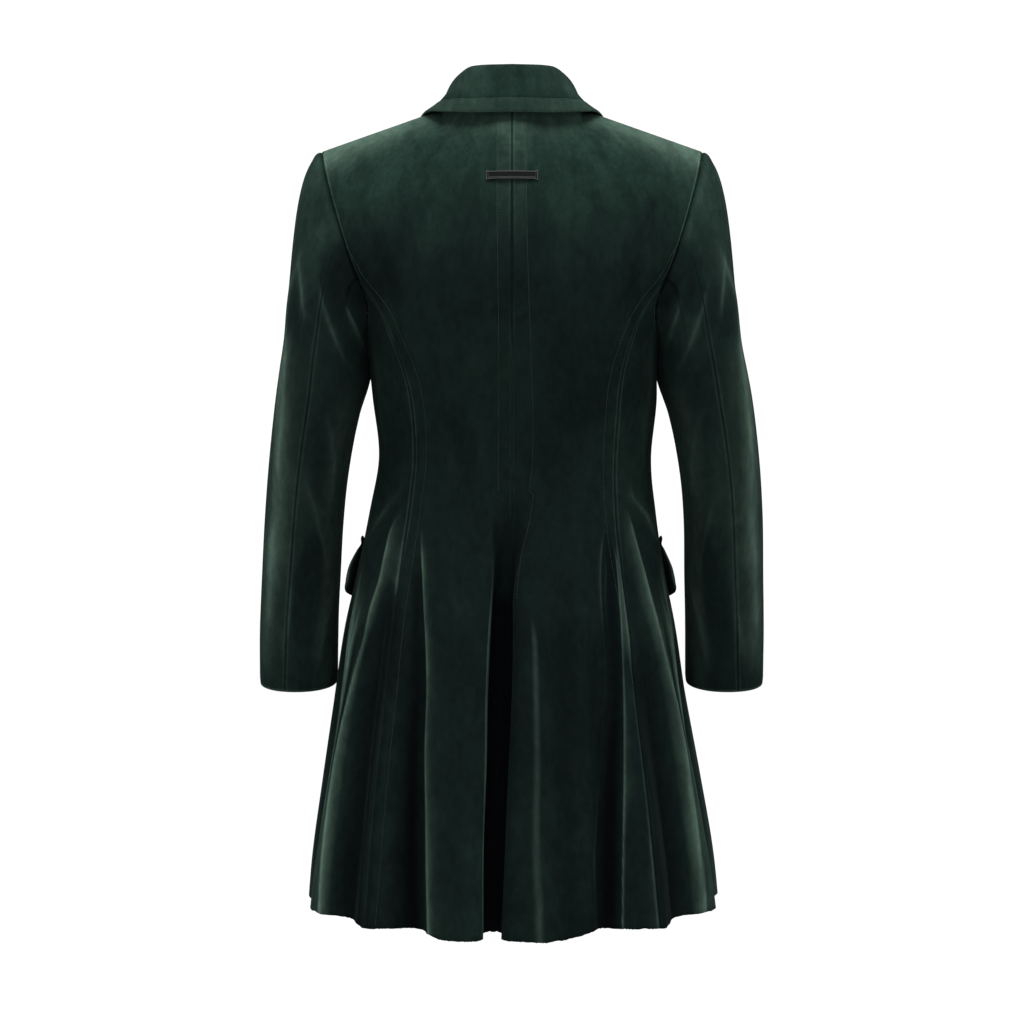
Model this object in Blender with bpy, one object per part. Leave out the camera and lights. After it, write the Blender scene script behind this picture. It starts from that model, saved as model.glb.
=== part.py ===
# A velvet coat, filled out as worn: fitted to the waist, flared below it, with a pleat at the
# centre back. Metres, +Z up, the front faces -Y and the wearer's left is +X. The origin lies
# between the shoulders, at the height where the shoulder seams meet the neck.

from math import cos, pi, radians, sin

import bmesh
import bpy
import numpy as np

# Cloth
WALL = 0.002
SEAM = 0.0003
LIFT = 0.0004

# Levels, from the neck
CHEST_LEVEL = -0.180
UNDERARM_LEVEL = -0.235
BREAK_LEVEL = -0.262
PARTING_LEVEL = -0.203
PLEAT_TOP = -0.400
PLEAT_FULL = -0.500
HEM_LEVEL = -0.839
BACK_DROOP = 0.009
SIDE_RISE = 0.010

# Body sections, all round below the chest: level, half width, depth to the back and to the front
SECTIONS = np.array([
    (-0.180, 0.1720, 0.1130, 0.1180),
    (-0.215, 0.1630, 0.1120, 0.1290),
    (-0.262, 0.1525, 0.1060, 0.1330),
    (-0.304, 0.1495, 0.0960, 0.1230),
    (-0.367, 0.1435, 0.0840, 0.1080),
    (-0.420, 0.1505, 0.0900, 0.1120),
    (-0.486, 0.1620, 0.1070, 0.1240),
    (-0.536, 0.1730, 0.1190, 0.1330),
    (-0.620, 0.1860, 0.1330, 0.1450),
    (-0.704, 0.1990, 0.1480, 0.1570),
    (-0.789, 0.2110, 0.1640, 0.1680),
    (-0.850, 0.2160, 0.1740, 0.1750),
])
SQUARENESS = 2.3
# The waist hangs a little to the wearer's right: level, shift across
SWAY = np.array([
    (-0.180, 0.0), (-0.240, 0.0), (-0.270, -0.0012), (-0.304, -0.0030), (-0.335, -0.0036),
    (-0.367, -0.0031), (-0.400, -0.0015), (-0.440, 0.0), (-0.850, 0.0),
])

# Shaped back seam and front side seam: level, distance from the middle
BACK_SEAM = np.array([
    (-0.180, 0.1600), (-0.199, 0.1460), (-0.218, 0.1340), (-0.243, 0.1240), (-0.289, 0.1100),
    (-0.333, 0.1050), (-0.367, 0.1035), (-0.416, 0.1060), (-0.480, 0.1130), (-0.537, 0.1200),
    (-0.610, 0.1260), (-0.712, 0.1350), (-0.850, 0.1450),
])
FRONT_SEAM = np.array([
    (-0.180, 0.1600), (-0.250, 0.1440), (-0.310, 0.1300), (-0.375, 0.1240), (-0.486, 0.1420),
    (-0.620, 0.1650), (-0.850, 0.1900),
])

# Upper edges, from the chest level to the shoulder: x, y, z
CENTRE_BACK = np.array([
    (0.0, 0.1130, -0.180), (0.0, 0.1105, -0.140), (0.0, 0.1020, -0.090), (0.0, 0.0870, -0.040),
    (0.0, 0.0660, 0.004),
])
BACK_ARMHOLE = np.array([
    (0.1600, 0.0532, -0.180), (0.1695, 0.0520, -0.155), (0.1795, 0.0470, -0.125),
    (0.1885, 0.0370, -0.095), (0.1960, 0.0220, -0.066), (0.2005, 0.0000, -0.042),
])
FRONT_ARMHOLE = np.array([
    (0.1600, -0.0555, -0.180), (0.1610, -0.0590, -0.155), (0.1680, -0.0570, -0.125),
    (0.1790, -0.0460, -0.095), (0.1910, -0.0270, -0.066), (0.2005, 0.0000, -0.042),
])
ROLL_LINE = np.array([
    (0.0090, -0.1176, -0.180), (0.0300, -0.1080, -0.120), (0.0480, -0.0880, -0.070),
    (0.0620, -0.0580, -0.028), (0.0700, -0.0270, -0.005), (0.0720, 0.0000, 0.0035),
])
NECK_POINT = np.array((0.0720, 0.0, 0.0035))
NECK_BACK = 0.066
NECK_SHARE = 0.36
SHOULDER_UP = np.array((0.334, 0.0, 0.943))

# Skirt folds: side, level where it starts, angle from the centre back there and at the hem,
# half width in degrees, and how far it stands out at the hem
FOLDS = [
    (1, -0.440, 32.0, 26.0, 5.5, -0.018),
    (1, -0.420, 42.0, 38.5, 4.0, 0.008),
    (1, -0.470, 46.0, 52.0, 6.0, -0.016),
    (1, -0.420, 48.0, 67.0, 6.5, 0.007),
    (1, -0.470, 76.0, 82.0, 6.0, -0.014),
    (-1, -0.420, 34.0, 24.0, 5.5, -0.018),
    (-1, -0.440, 40.0, 40.5, 4.0, 0.009),
    (-1, -0.470, 46.0, 54.0, 6.5, -0.016),
    (-1, -0.420, 49.0, 68.0, 6.0, 0.009),
    (-1, -0.560, 5.0, 6.0, 4.0, 0.004),
    (-1, -0.480, 76.0, 84.0, 6.5, -0.014),
    (1, -0.460, 104.0, 100.0, 7.0, 0.004),
    (1, -0.440, 118.0, 117.0, 7.0, -0.018),
    (1, -0.430, 131.0, 134.0, 7.0, 0.011),
    (1, -0.460, 145.0, 151.0, 7.0, -0.018),
    (-1, -0.450, 106.0, 101.0, 7.0, 0.009),
    (-1, -0.440, 117.0, 114.0, 7.0, -0.016),
    (-1, -0.440, 129.0, 130.0, 7.0, 0.011),
    (-1, -0.450, 147.0, 148.0, 7.5, -0.020),
]

# Centre back pleat: level, then the left and the right fold edge and the seam inside, across
PLEAT_EDGES = np.array([
    (-0.400, 0.0150, -0.0010, 0.0000), (-0.480, 0.0172, -0.0015, 0.0060),
    (-0.520, 0.0200, -0.0030, 0.0090), (-0.610, 0.0240, -0.0020, 0.0110),
    (-0.674, 0.0250, 0.0020, 0.0130), (-0.750, 0.0278, 0.0060, 0.0160),
    (-0.850, 0.0285, 0.0110, 0.0190),
])
PLEAT_DEPTH = 0.032
# The cloth inside it, column by column: share of the way from the seam to the edge, share of depth
PLEAT_TURN = [(0.00, 1.00), (0.45, 1.02), (0.95, 0.80), (1.10, 0.40)]
PLEAT_COLUMNS = len(PLEAT_TURN)

# Front closing
OVERLAP = 0.020
OVERLAP_STEP = 0.0026
OVERLAP_RAMP = 0.030
BUTTON_LEVELS = (-0.285, -0.355, -0.425)
BUTTON_RADIUS = 0.011
BUTTON_THICK = 0.0035

# Sleeve sections below the armhole: level, middle across and in depth, half width, half depth
SLEEVE = np.array([
    (-0.262, 0.1990, -0.0020, 0.0445, 0.0720),
    (-0.304, 0.2035, 0.0010, 0.0455, 0.0690),
    (-0.346, 0.2100, 0.0020, 0.0435, 0.0650),
    (-0.388, 0.2152, 0.0010, 0.0422, 0.0620),
    (-0.430, 0.2190, -0.0030, 0.0417, 0.0590),
    (-0.490, 0.2228, -0.0120, 0.0417, 0.0560),
    (-0.550, 0.2262, -0.0230, 0.0416, 0.0535),
    (-0.602, 0.2272, -0.0320, 0.0413, 0.0520),
])
CUFF_DIP = 0.009
# How the sleeve leaves the armhole and comes to its first section, at the shoulder and below it
HEAD_LEAVES = np.array((0.108, 0.0, -0.042))
HEAD_ARRIVES = np.array((0.036, 0.0, -0.190))
UNDER_LEAVES = np.array((0.014, 0.0, -0.002))
UNDER_ARRIVES = np.array((-0.002, 0.0, -0.020))
# The right sleeve hangs a little further out: level, shift
SLEEVE_SWING = np.array([
    (-0.180, 0.0), (-0.240, 0.0010), (-0.300, 0.0040), (-0.360, 0.0048), (-0.420, 0.0040),
    (-0.500, 0.0010), (-0.560, -0.0006), (-0.640, -0.0012),
])

# Collar, from the centre back to its front end: neck seam, fold and outer edge, each x, y, z,
# then how far the fall bows out between fold and edge
COLLAR = np.array([
    (0.0000, 0.0660, 0.0045, 0.0000, 0.0640, 0.0390, 0.0000, 0.0830, -0.0120, 0.0006),
    (0.0360, 0.0578, 0.0045, 0.0330, 0.0560, 0.0390, 0.0420, 0.0760, -0.0115, 0.0000),
    (0.0600, 0.0360, 0.0045, 0.0480, 0.0340, 0.0370, 0.0740, 0.0500, -0.0060, -0.0020),
    (0.0725, 0.0000, 0.0045, 0.0600, 0.0000, 0.0265, 0.0965, 0.0020, 0.0000, -0.0035),
    (0.0705, -0.0280, -0.0035, 0.0635, -0.0310, 0.0130, 0.1050, -0.0420, -0.0120, -0.0025),
    (0.0658, -0.0510, -0.0190, 0.0620, -0.0570, -0.0040, 0.1070, -0.0760, -0.0400, -0.0010),
])
FOLD_ROUND = 0.0045

# Lapel: share of the way up from the break, and how far it reaches over the front
LAPEL = np.array([
    (0.00, 0.03), (0.15, 0.17), (0.35, 0.33), (0.60, 0.47), (0.80, 0.56), (0.92, 0.60), (1.00, 0.42),
])
LAPEL_TOP = 0.63
LAPEL_LIFT = 0.0008
# Rows of the left lapel that the right front covers, and how far it stays clear of that front
LAPEL_HIDDEN = 0.80
LAPEL_CLEAR = 0.0040

# Pocket flaps: angles from the centre back, levels of the top and the bottom, stand-off below
FLAP_BACK = 86.0
FLAP_FRONT = 124.0
FLAP_TOP = -0.447
FLAP_BOTTOM = -0.509
FLAP_STAND_OFF = 0.0090

# Hanging loop across the centre back seam
LOOP_LEVEL = -0.0810
LOOP_LENGTH = 0.052
LOOP_HEIGHT = 0.0095
LOOP_WALL = 0.0015

# Columns and rows of the cloth
BACK_SHARES = [0, 0.03, 0.065, 0.10, 0.14, 0.21, 0.28, 0.36, 0.45, 0.55, 0.64, 0.73, 0.82, 0.91, 1]
SIDE_SHARES = [i / 8 for i in range(9)]
FRONT_SHARES = [i / 13 for i in range(14)]
SKIRT_ROWS = 25
CHEST_ROWS = 8


def new_material(name, color, roughness, metallic=0.0):
    material = bpy.data.materials.new(name)
    material.use_nodes = True
    shader = material.node_tree.nodes["Principled BSDF"]
    shader.inputs["Base Color"].default_value = (*color, 1.0)
    shader.inputs["Roughness"].default_value = roughness
    shader.inputs["Metallic"].default_value = metallic
    return material


def add_object(name, verts, faces, material):
    mesh = bpy.data.meshes.new(name)
    mesh.from_pydata([tuple(v) for v in verts], [], faces)
    mesh.materials.append(material)
    mesh.shade_smooth()
    obj = bpy.data.objects.new(name, mesh)
    bpy.context.collection.objects.link(obj)
    return obj


def curve(table, t):
    # A smooth curve through the rows of a table whose first column runs one way
    keys = table[:, 0]
    rows = table[:, 1:]
    if keys[0] > keys[-1]:
        keys = keys[::-1]
        rows = rows[::-1]
    t = min(max(t, keys[0]), keys[-1])
    i = min(int(np.searchsorted(keys, t, side="right")) - 1, len(keys) - 2)
    slopes = np.gradient(rows, keys, axis=0)
    width = keys[i + 1] - keys[i]
    u = (t - keys[i]) / width
    return (
        rows[i] * (2 * u**3 - 3 * u**2 + 1)
        + rows[i + 1] * (3 * u**2 - 2 * u**3)
        + slopes[i] * width * (u**3 - 2 * u**2 + u)
        + slopes[i + 1] * width * (u**3 - u**2)
    )


def along(points, share):
    # A smooth curve through points, at a share of its rows
    keys = np.linspace(0, 1, len(points))
    return curve(np.column_stack([keys, points]), share)


def smooth_step(value, start, end):
    u = min(max((value - start) / (end - start), 0.0), 1.0)
    return u * u * (3 - 2 * u)


def unit(vector):
    return vector / np.linalg.norm(vector)


def angle_at(across, z):
    # The angle from the centre back at which the section lies this far across
    half_width = curve(SECTIONS, z)[0]
    share = min(abs(across) / half_width, 1.0) ** (SQUARENESS / 2)
    return np.sign(across) * np.arcsin(share)


def fold_height(angle, z):
    height = 0.0
    for side, start, angle_start, angle_hem, half_width, stand_out in FOLDS:
        growth = smooth_step(z, start, HEM_LEVEL) ** 0.6
        share = (z - start) / (HEM_LEVEL - start)
        middle = angle_start + (angle_hem - angle_start) * min(max(share, 0.0), 1.0) ** 0.7
        offset = (np.degrees(angle) * side - middle) / half_width
        height += stand_out * growth * np.exp(-offset * offset)
    return height


def body_point(angle, z):
    # The body's outer face: a squared ellipse with the skirt's folds on it
    half_width, back, front = curve(SECTIONS, z)
    across = sin(angle)
    deep = cos(angle)
    power = 2 / SQUARENESS
    depth = back if deep > 0 else front
    x = half_width * np.sign(across) * abs(across) ** power
    y = depth * np.sign(deep) * abs(deep) ** power
    out = unit(np.array((x / half_width**2, y / depth**2, 0.0)))
    return np.array((x + curve(SWAY, z)[0], y, z)) + out * fold_height(angle, z)


def body_normal(angle, z):
    round_it = body_point(angle + 0.02, z) - body_point(angle - 0.02, z)
    up = body_point(angle, z + 0.002) - body_point(angle, z - 0.002)
    normal = np.cross(round_it, up)
    return unit(normal) if normal @ body_point(angle, z) > 0 else -unit(normal)


def hem_level(angle):
    # The hem drops at the centre back and rises a little at the sides and the front
    angle = abs(angle)
    rise = SIDE_RISE * smooth_step(angle, radians(42), radians(72))
    drop = BACK_DROOP / (1 + (angle / radians(19.5)) ** 8)
    return HEM_LEVEL + rise - drop


def wall(name, outer, inner, material):
    # A closed wall between two grids of points, facing out whichever way the grid runs
    rows, columns = outer.shape[:2]
    count = rows * columns
    verts = np.concatenate([outer.reshape(-1, 3), inner.reshape(-1, 3)])
    faces = []
    for i in range(rows - 1):
        for j in range(columns - 1):
            a = i * columns + j
            faces.append((a, a + 1, a + columns + 1, a + columns))
            faces.append((count + a, count + a + columns, count + a + columns + 1, count + a + 1))
    rim = [j for j in range(columns)]
    rim += [i * columns + columns - 1 for i in range(1, rows)]
    rim += [(rows - 1) * columns + j for j in range(columns - 2, -1, -1)]
    rim += [i * columns for i in range(rows - 2, 0, -1)]
    for a, b in zip(rim, rim[1:] + rim[:1]):
        faces.append((b, a, count + a, count + b))
    obj = add_object(name, verts, faces, material)
    mesh = bmesh.new()
    mesh.from_mesh(obj.data)
    bmesh.ops.recalc_face_normals(mesh, faces=mesh.faces)
    if mesh.calc_volume(signed=True) < 0:
        bmesh.ops.reverse_faces(mesh, faces=mesh.faces)
    mesh.to_mesh(obj.data)
    mesh.free()
    return obj


def grid_normals(grid, inside):
    # Normals of a grid, turned away from the point that is inside the form at each row
    down = np.gradient(grid, axis=0)
    round_it = np.gradient(grid, axis=1)
    normals = np.cross(down, round_it)
    normals /= np.linalg.norm(normals, axis=2, keepdims=True)
    middle = (len(grid) // 2, grid.shape[1] // 2)
    if normals[middle] @ (grid[middle] - inside) < 0:
        normals = -normals
    return normals


def pull_in(grid, column):
    # Half of the seam's gap, taken off one side column
    step = 1 if column == 0 else -1
    toward = grid[:, column + step] - grid[:, column]
    toward /= np.linalg.norm(toward, axis=1, keepdims=True)
    grid[:, column] += toward * SEAM / 2


def back_lower_row(side, share_up, shares):
    # One level of a back panel, with the pleat's four columns turned in below the waist
    points = []
    for j, share in enumerate(shares):
        z = HEM_LEVEL + (CHEST_LEVEL - HEM_LEVEL) * share_up
        seam_angle = angle_at(curve(BACK_SEAM, z)[0], z)
        level = z + (hem_level(seam_angle * share) - HEM_LEVEL) * (1 - share_up) ** 3
        flat = body_point(side * seam_angle * share, level)
        open_share = smooth_step(level, PLEAT_TOP, PLEAT_FULL)
        if level > PLEAT_TOP:
            points.append(flat)
            continue
        left, right, inner_seam = curve(PLEAT_EDGES, level)
        edge = left if side > 0 else -right
        edge_angle = angle_at(edge, level)
        if j >= PLEAT_COLUMNS:
            rest = (share - shares[PLEAT_COLUMNS]) / (1 - shares[PLEAT_COLUMNS])
            pleated = body_point(side * (edge_angle + (seam_angle - edge_angle) * rest), level)
        else:
            surface = body_point(angle_at(inner_seam, level), level)[1]
            across = inner_seam + (side * edge - inner_seam) * PLEAT_TURN[j][0]
            pleated = np.array((across, surface - PLEAT_DEPTH * PLEAT_TURN[j][1], level))
        move = smooth_step(level, PLEAT_TOP, PLEAT_FULL - 0.02)
        points.append(flat + (pleated - flat) * (open_share if j < PLEAT_COLUMNS else move))
    return points


def shoulder_edge(share, neck_share):
    if share <= neck_share:
        turn = share / neck_share * pi / 2
        x = NECK_POINT[0] * sin(turn) ** 0.9
        y = NECK_BACK * max(cos(turn), 0.0) ** 0.9
        return np.array((x, y, 0.004 + (NECK_POINT[2] - 0.004) * share / neck_share))
    rest = (share - neck_share) / (1 - neck_share)
    return NECK_POINT + (BACK_ARMHOLE[-1] - NECK_POINT) * rest


def upper_patch(share, up, lower, inner_edge, outer_edge, top):
    # A patch between the chest level, the shoulder and its two side edges. lower and top hold
    # each line's two ends and, between them, its place at this share. Across and up it is ruled
    # between the edges; its depth keeps the round of the chest line almost to the shoulder.
    bottom_line = lower[0] + (lower[2] - lower[0]) * share
    top_line = top[0] + (top[2] - top[0]) * share
    point = inner_edge + (outer_edge - inner_edge) * share
    point += (lower[1] - bottom_line) * (1 - up) ** 1.3 + (top[1] - top_line) * up**3
    rounded = (lower[1][1] - lower[2][1]) / (lower[0][1] - lower[2][1])
    if top[0][1] != top[2][1]:
        top_round = (top[1][1] - top[2][1]) / (top[0][1] - top[2][1])
        rounded += (top_round - rounded) * up**3
    point[1] = outer_edge[1] + (inner_edge[1] - outer_edge[1]) * rounded
    return point


def back_upper_point(share, up):
    seam_angle = angle_at(curve(BACK_SEAM, CHEST_LEVEL)[0], CHEST_LEVEL)
    lower = [body_point(seam_angle * s, CHEST_LEVEL) for s in (0.0, share, 1.0)]
    top = [shoulder_edge(s, NECK_SHARE) for s in (0.0, share, 1.0)]
    # Away from the neck its corner is smoothed out of the cloth
    neck_line = top[0] + (top[2] - top[0]) * NECK_SHARE
    soft = top[0] + (top[2] - top[0]) * share + (NECK_POINT - neck_line) * sin(pi * share**0.68)
    soft[1] = top[0][1] * (1 - share) ** 2
    top[1] = soft + (top[1] - soft) * up**6
    return upper_patch(share, up, lower, along(CENTRE_BACK, up), along(BACK_ARMHOLE, up), top)


def front_upper_point(share, up):
    inner = pi - angle_at(ROLL_LINE[0, 0], CHEST_LEVEL)
    outer = pi - angle_at(curve(FRONT_SEAM, CHEST_LEVEL)[0], CHEST_LEVEL)
    lower = [body_point(inner + (outer - inner) * s, CHEST_LEVEL) for s in (0.0, share, 1.0)]
    top = [NECK_POINT + (FRONT_ARMHOLE[-1] - NECK_POINT) * s for s in (0.0, share, 1.0)]
    return upper_patch(share, up, lower, along(ROLL_LINE, up), along(FRONT_ARMHOLE, up), top)


def front_edge(z):
    # How far across the front edge lies: past the middle below the break, the roll line above it
    if z <= BREAK_LEVEL:
        return -OVERLAP
    share = (z - BREAK_LEVEL) / (CHEST_LEVEL - BREAK_LEVEL)
    return -OVERLAP + (ROLL_LINE[0, 0] + OVERLAP) * share


def make_backs(velvet):
    for side, name in ((1, "back_left"), (-1, "back_right")):
        rows = [
            back_lower_row(side, i / SKIRT_ROWS, BACK_SHARES) for i in range(SKIRT_ROWS + 1)
        ]
        for i in range(1, CHEST_ROWS + 1):
            row = [back_upper_point(share, i / CHEST_ROWS) for share in BACK_SHARES]
            rows.append([point * (side, 1, 1) for point in row])
        grid = np.array(rows)
        normals = grid_normals(grid, np.zeros(3))
        for i in range(SKIRT_ROWS + 1):
            z = grid[i, -1, 2]
            normals[i, -1] = body_normal(side * angle_at(curve(BACK_SEAM, z)[0], z), z)
        rise = np.gradient(grid[:, 0], axis=0)
        for i in range(len(grid)):
            normals[i, 0] = unit(np.array((0.0, rise[i, 2], -rise[i, 1])))
        neck = BACK_SHARES.index(NECK_SHARE)
        normals[-1, neck:] = SHOULDER_UP * (side, 1, 1)
        pull_in(grid, 0)
        pull_in(grid, -1)
        grid[-1, neck:] += np.array((0.0, SEAM / 2, 0.0))
        wall(name, grid, grid - normals * WALL, velvet)


def side_top(share):
    # The lower curve of the armhole, from the back seam's top to the front seam's
    return UNDERARM_LEVEL + (CHEST_LEVEL - UNDERARM_LEVEL) * abs(2 * share - 1) ** 2.6


def side_angle(share, z):
    back = angle_at(curve(BACK_SEAM, z)[0], z)
    front = pi - angle_at(curve(FRONT_SEAM, z)[0], z)
    return back + (front - back) * share


def make_sides(velvet):
    for side, name in ((1, "side_left"), (-1, "side_right")):
        grid = []
        normals = []
        for i in range(SKIRT_ROWS + 1):
            row = []
            row_normals = []
            for share in SIDE_SHARES:
                up = i / SKIRT_ROWS
                even = HEM_LEVEL + (CHEST_LEVEL - HEM_LEVEL) * up
                z = even + (side_top(share) - CHEST_LEVEL) * smooth_step(up, 0.45, 1.0)
                z += (hem_level(side_angle(share, z)) - HEM_LEVEL) * (1 - up) ** 3
                angle = side * side_angle(share, z)
                row.append(body_point(angle, z))
                row_normals.append(body_normal(angle, z))
            grid.append(row)
            normals.append(row_normals)
        grid = np.array(grid)
        pull_in(grid, 0)
        pull_in(grid, -1)
        wall(name, grid, grid - np.array(normals) * WALL, velvet)


def front_grid(side):
    points = []
    for row in range(SKIRT_ROWS + CHEST_ROWS + 1):
        line = []
        for share in FRONT_SHARES:
            if row > SKIRT_ROWS:
                up = (row - SKIRT_ROWS) / CHEST_ROWS
                line.append(front_upper_point(share, up) * (side, 1, 1))
                continue
            z = HEM_LEVEL + (CHEST_LEVEL - HEM_LEVEL) * row / SKIRT_ROWS
            z += (hem_level(pi / 2) - HEM_LEVEL) * (1 - row / SKIRT_ROWS) ** 3
            inner = pi - angle_at(front_edge(z), z)
            outer = pi - angle_at(curve(FRONT_SEAM, z)[0], z)
            point = body_point(side * (inner + (outer - inner) * share), z)
            if side > 0:
                fade = 1 - smooth_step(point[0], OVERLAP, OVERLAP + OVERLAP_RAMP)
                fade *= 1 - smooth_step(z, PARTING_LEVEL, CHEST_LEVEL)
                point[1] += OVERLAP_STEP * fade
            line.append(point)
        points.append(line)
    return np.array(points)


def make_fronts(velvet):
    for side, name in ((1, "front_left"), (-1, "front_right")):
        grid = front_grid(side)
        normals = grid_normals(grid, np.zeros(3))
        for i in range(SKIRT_ROWS + 1):
            z = grid[i, -1, 2]
            normals[i, -1] = body_normal(side * (pi - angle_at(curve(FRONT_SEAM, z)[0], z)), z)
        normals[-1] = SHOULDER_UP * (side, 1, 1)
        pull_in(grid, -1)
        grid[-1] -= np.array((0.0, SEAM / 2, 0.0))
        wall(name, grid, grid - normals * WALL, velvet)


def grid_at(grid, row, share, shares):
    # A place on a panel's facets, at a row that may lie between two of its rows
    low = min(int(row), len(grid) - 2)
    line = grid[low] + (grid[low + 1] - grid[low]) * (row - low)
    return np.array([np.interp(share, shares, line[:, k]) for k in range(3)])


def lapel_rows(bottom, top):
    # The lapel's rows: the front's own and one between each two, so that both bend together
    rows = [i / 2 for i in range(int(2 * bottom), int(2 * top) + 2)]
    return [bottom] + [row for row in rows if bottom + 0.2 < row < top - 0.2] + [top]


def make_lapels(velvet):
    # Each lapel lies on its front's own points, moved out, with a soft roll near the fold.
    # The left one starts where it comes out from under the right front.
    fold_start = (BREAK_LEVEL - HEM_LEVEL) / (CHEST_LEVEL - HEM_LEVEL) * SKIRT_ROWS
    top = SKIRT_ROWS + CHEST_ROWS * LAPEL_TOP
    shares = np.array(FRONT_SHARES)
    for side, name in ((1, "lapel_left"), (-1, "lapel_right")):
        panel = front_grid(side)
        normals = grid_normals(panel, np.zeros(3))
        points = []
        outs = []
        for row in lapel_rows(fold_start + (LAPEL_HIDDEN if side > 0 else 0.0), top):
            reach = curve(LAPEL, (row - fold_start) / (top - fold_start))[0]
            start = 0.0
            if side > 0:
                own_edge = grid_at(panel, row, 0.0, shares)
                covered = LAPEL_CLEAR - front_edge(own_edge[2]) - own_edge[0]
                width = grid_at(panel, row, reach, shares)[0] - own_edge[0]
                start = min(max(covered / width * reach, 0.0), reach - 0.02)
            line = []
            line_out = []
            for j in range(9):
                share = start + (reach - start) * j / 8
                out = unit(grid_at(normals, row, share, shares))
                roll = 0.004 * abs(sin(pi * j / 8)) ** 0.8 + LAPEL_LIFT
                line.append(grid_at(panel, row, share, shares) + out * (roll + WALL))
                line_out.append(out)
            points.append(line)
            outs.append(line_out)
        grid = np.array(points)
        wall(name, grid, grid - np.array(outs) * WALL, velvet)


def armhole_loop():
    # The armhole's corner points, from the shoulder back and round: shared by body and sleeve
    back = [back_upper_point(1.0, i / CHEST_ROWS) for i in range(CHEST_ROWS, 0, -1)]
    under = [
        body_point(side_angle(share, side_top(share)), side_top(share)) for share in SIDE_SHARES
    ]
    front = [front_upper_point(1.0, i / CHEST_ROWS) for i in range(1, CHEST_ROWS)]
    return np.array(back + under + front)


def sleeve_ring(turns, z):
    x, y, half_width, half_depth = curve(SLEEVE, z)
    dip = CUFF_DIP * smooth_step(z, SLEEVE[-3, 0], SLEEVE[-1, 0])
    ring = []
    for turn in turns:
        across = np.sign(cos(turn)) * abs(cos(turn)) ** 0.92
        deep = np.sign(sin(turn)) * abs(sin(turn)) ** 0.92
        ring.append((x + half_width * across, y + half_depth * deep, z - dip * deep))
    return np.array(ring)


def sleeve_grid():
    loop = armhole_loop()
    middle = loop.mean(axis=0)
    steps = np.linalg.norm(np.roll(loop, -1, axis=0) - loop, axis=1)
    turns = 2 * pi * np.concatenate([[0], np.cumsum(steps)[:-1]]) / steps.sum()
    first = sleeve_ring(turns, SLEEVE[0, 0])
    start = loop + np.array((SEAM, 0.0, 0.0))
    rows = []
    top_count = 8
    for i in range(top_count):
        u = i / top_count
        row = []
        for a, b, turn in zip(start, first, turns):
            high = 0.5 + 0.5 * cos(turn)
            leaves = UNDER_LEAVES + (HEAD_LEAVES - UNDER_LEAVES) * high
            arrives = UNDER_ARRIVES + (HEAD_ARRIVES - UNDER_ARRIVES) * high
            row.append(
                a * (2 * u**3 - 3 * u**2 + 1)
                + b * (3 * u**2 - 2 * u**3)
                + leaves * (u**3 - 2 * u**2 + u)
                + arrives * (u**3 - u**2)
            )
        rows.append(row)
    for z in np.linspace(SLEEVE[0, 0], SLEEVE[-1, 0], 13):
        rows.append(sleeve_ring(turns, z))
    return np.array(rows), turns, middle


def make_sleeves(velvet):
    grid, turns, middle = sleeve_grid()
    closed = np.concatenate([grid[:, -1:], grid, grid[:, :1]], axis=1)
    normals = np.cross(np.gradient(closed, axis=0), np.gradient(closed, axis=1))[:, 1:-1]
    normals /= np.linalg.norm(normals, axis=2, keepdims=True)
    if normals[-1, 0, 0] < 0:
        normals = -normals
    centre = middle
    for j in range(len(turns)):
        radial = grid[0, j] - centre
        radial[0] = 0.0
        normals[0, j] = unit(radial)
    back_seam = int(np.argmin(abs(turns - radians(84))))
    front_seam = int(np.argmin(abs(turns - radians(248))))
    count = len(turns)
    upper = [j % count for j in range(front_seam, count + back_seam + 1)]
    under = list(range(back_seam, front_seam + 1))
    for side, end in ((1, "left"), (-1, "right")):
        for name, columns in (("sleeve_upper", upper), ("sleeve_under", under)):
            outer = grid[:, columns].copy()
            inner_normals = normals[:, columns]
            pull_in(outer, 0)
            pull_in(outer, -1)
            inner = outer - inner_normals * WALL
            if side < 0:
                for points in (outer, inner):
                    for row in points:
                        row[:, 0] += [curve(SLEEVE_SWING, z)[0] for z in row[:, 2]]
            flip = np.array((side, 1, 1))
            wall(f"{name}_{end}", outer * flip, inner * flip, velvet)


def make_collar(velvet):
    # One folded piece: up from the neck seam, over the fold, and down to the outer edge
    count = 12
    sections = []
    for i in range(-count, count + 1):
        place = along(COLLAR, abs(i) / count)
        row = place[:9].reshape(3, 3) * (np.sign(i) or 1, 1, 1)
        if i == 0:
            row[:, 0] = 0.0
        neck, fold, edge = row
        up = unit(fold - neck)
        away = edge - fold
        out = unit(away - up * (away @ up))
        arc_middle = fold - up * FOLD_ROUND + out * FOLD_ROUND
        points = [neck, neck + (fold - neck) * 0.45]
        for turn in (180, 135, 90, 50, 20):
            points.append(
                arc_middle + (out * cos(radians(turn)) + up * sin(radians(turn))) * FOLD_ROUND
            )
        last = points[-1]
        for share in (0.3, 0.65, 1.0):
            bow = out * place[9] * sin(pi * share)
            points.append(last + (edge - last) * share + bow)
        sections.append(points)
    grid = np.array(sections)
    normals = np.cross(np.gradient(grid, axis=0), np.gradient(grid, axis=1))
    normals /= np.linalg.norm(normals, axis=2, keepdims=True)
    if normals[count, 4, 2] < 0:
        normals = -normals
    wall("collar", grid, grid - normals * WALL, velvet)


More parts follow.
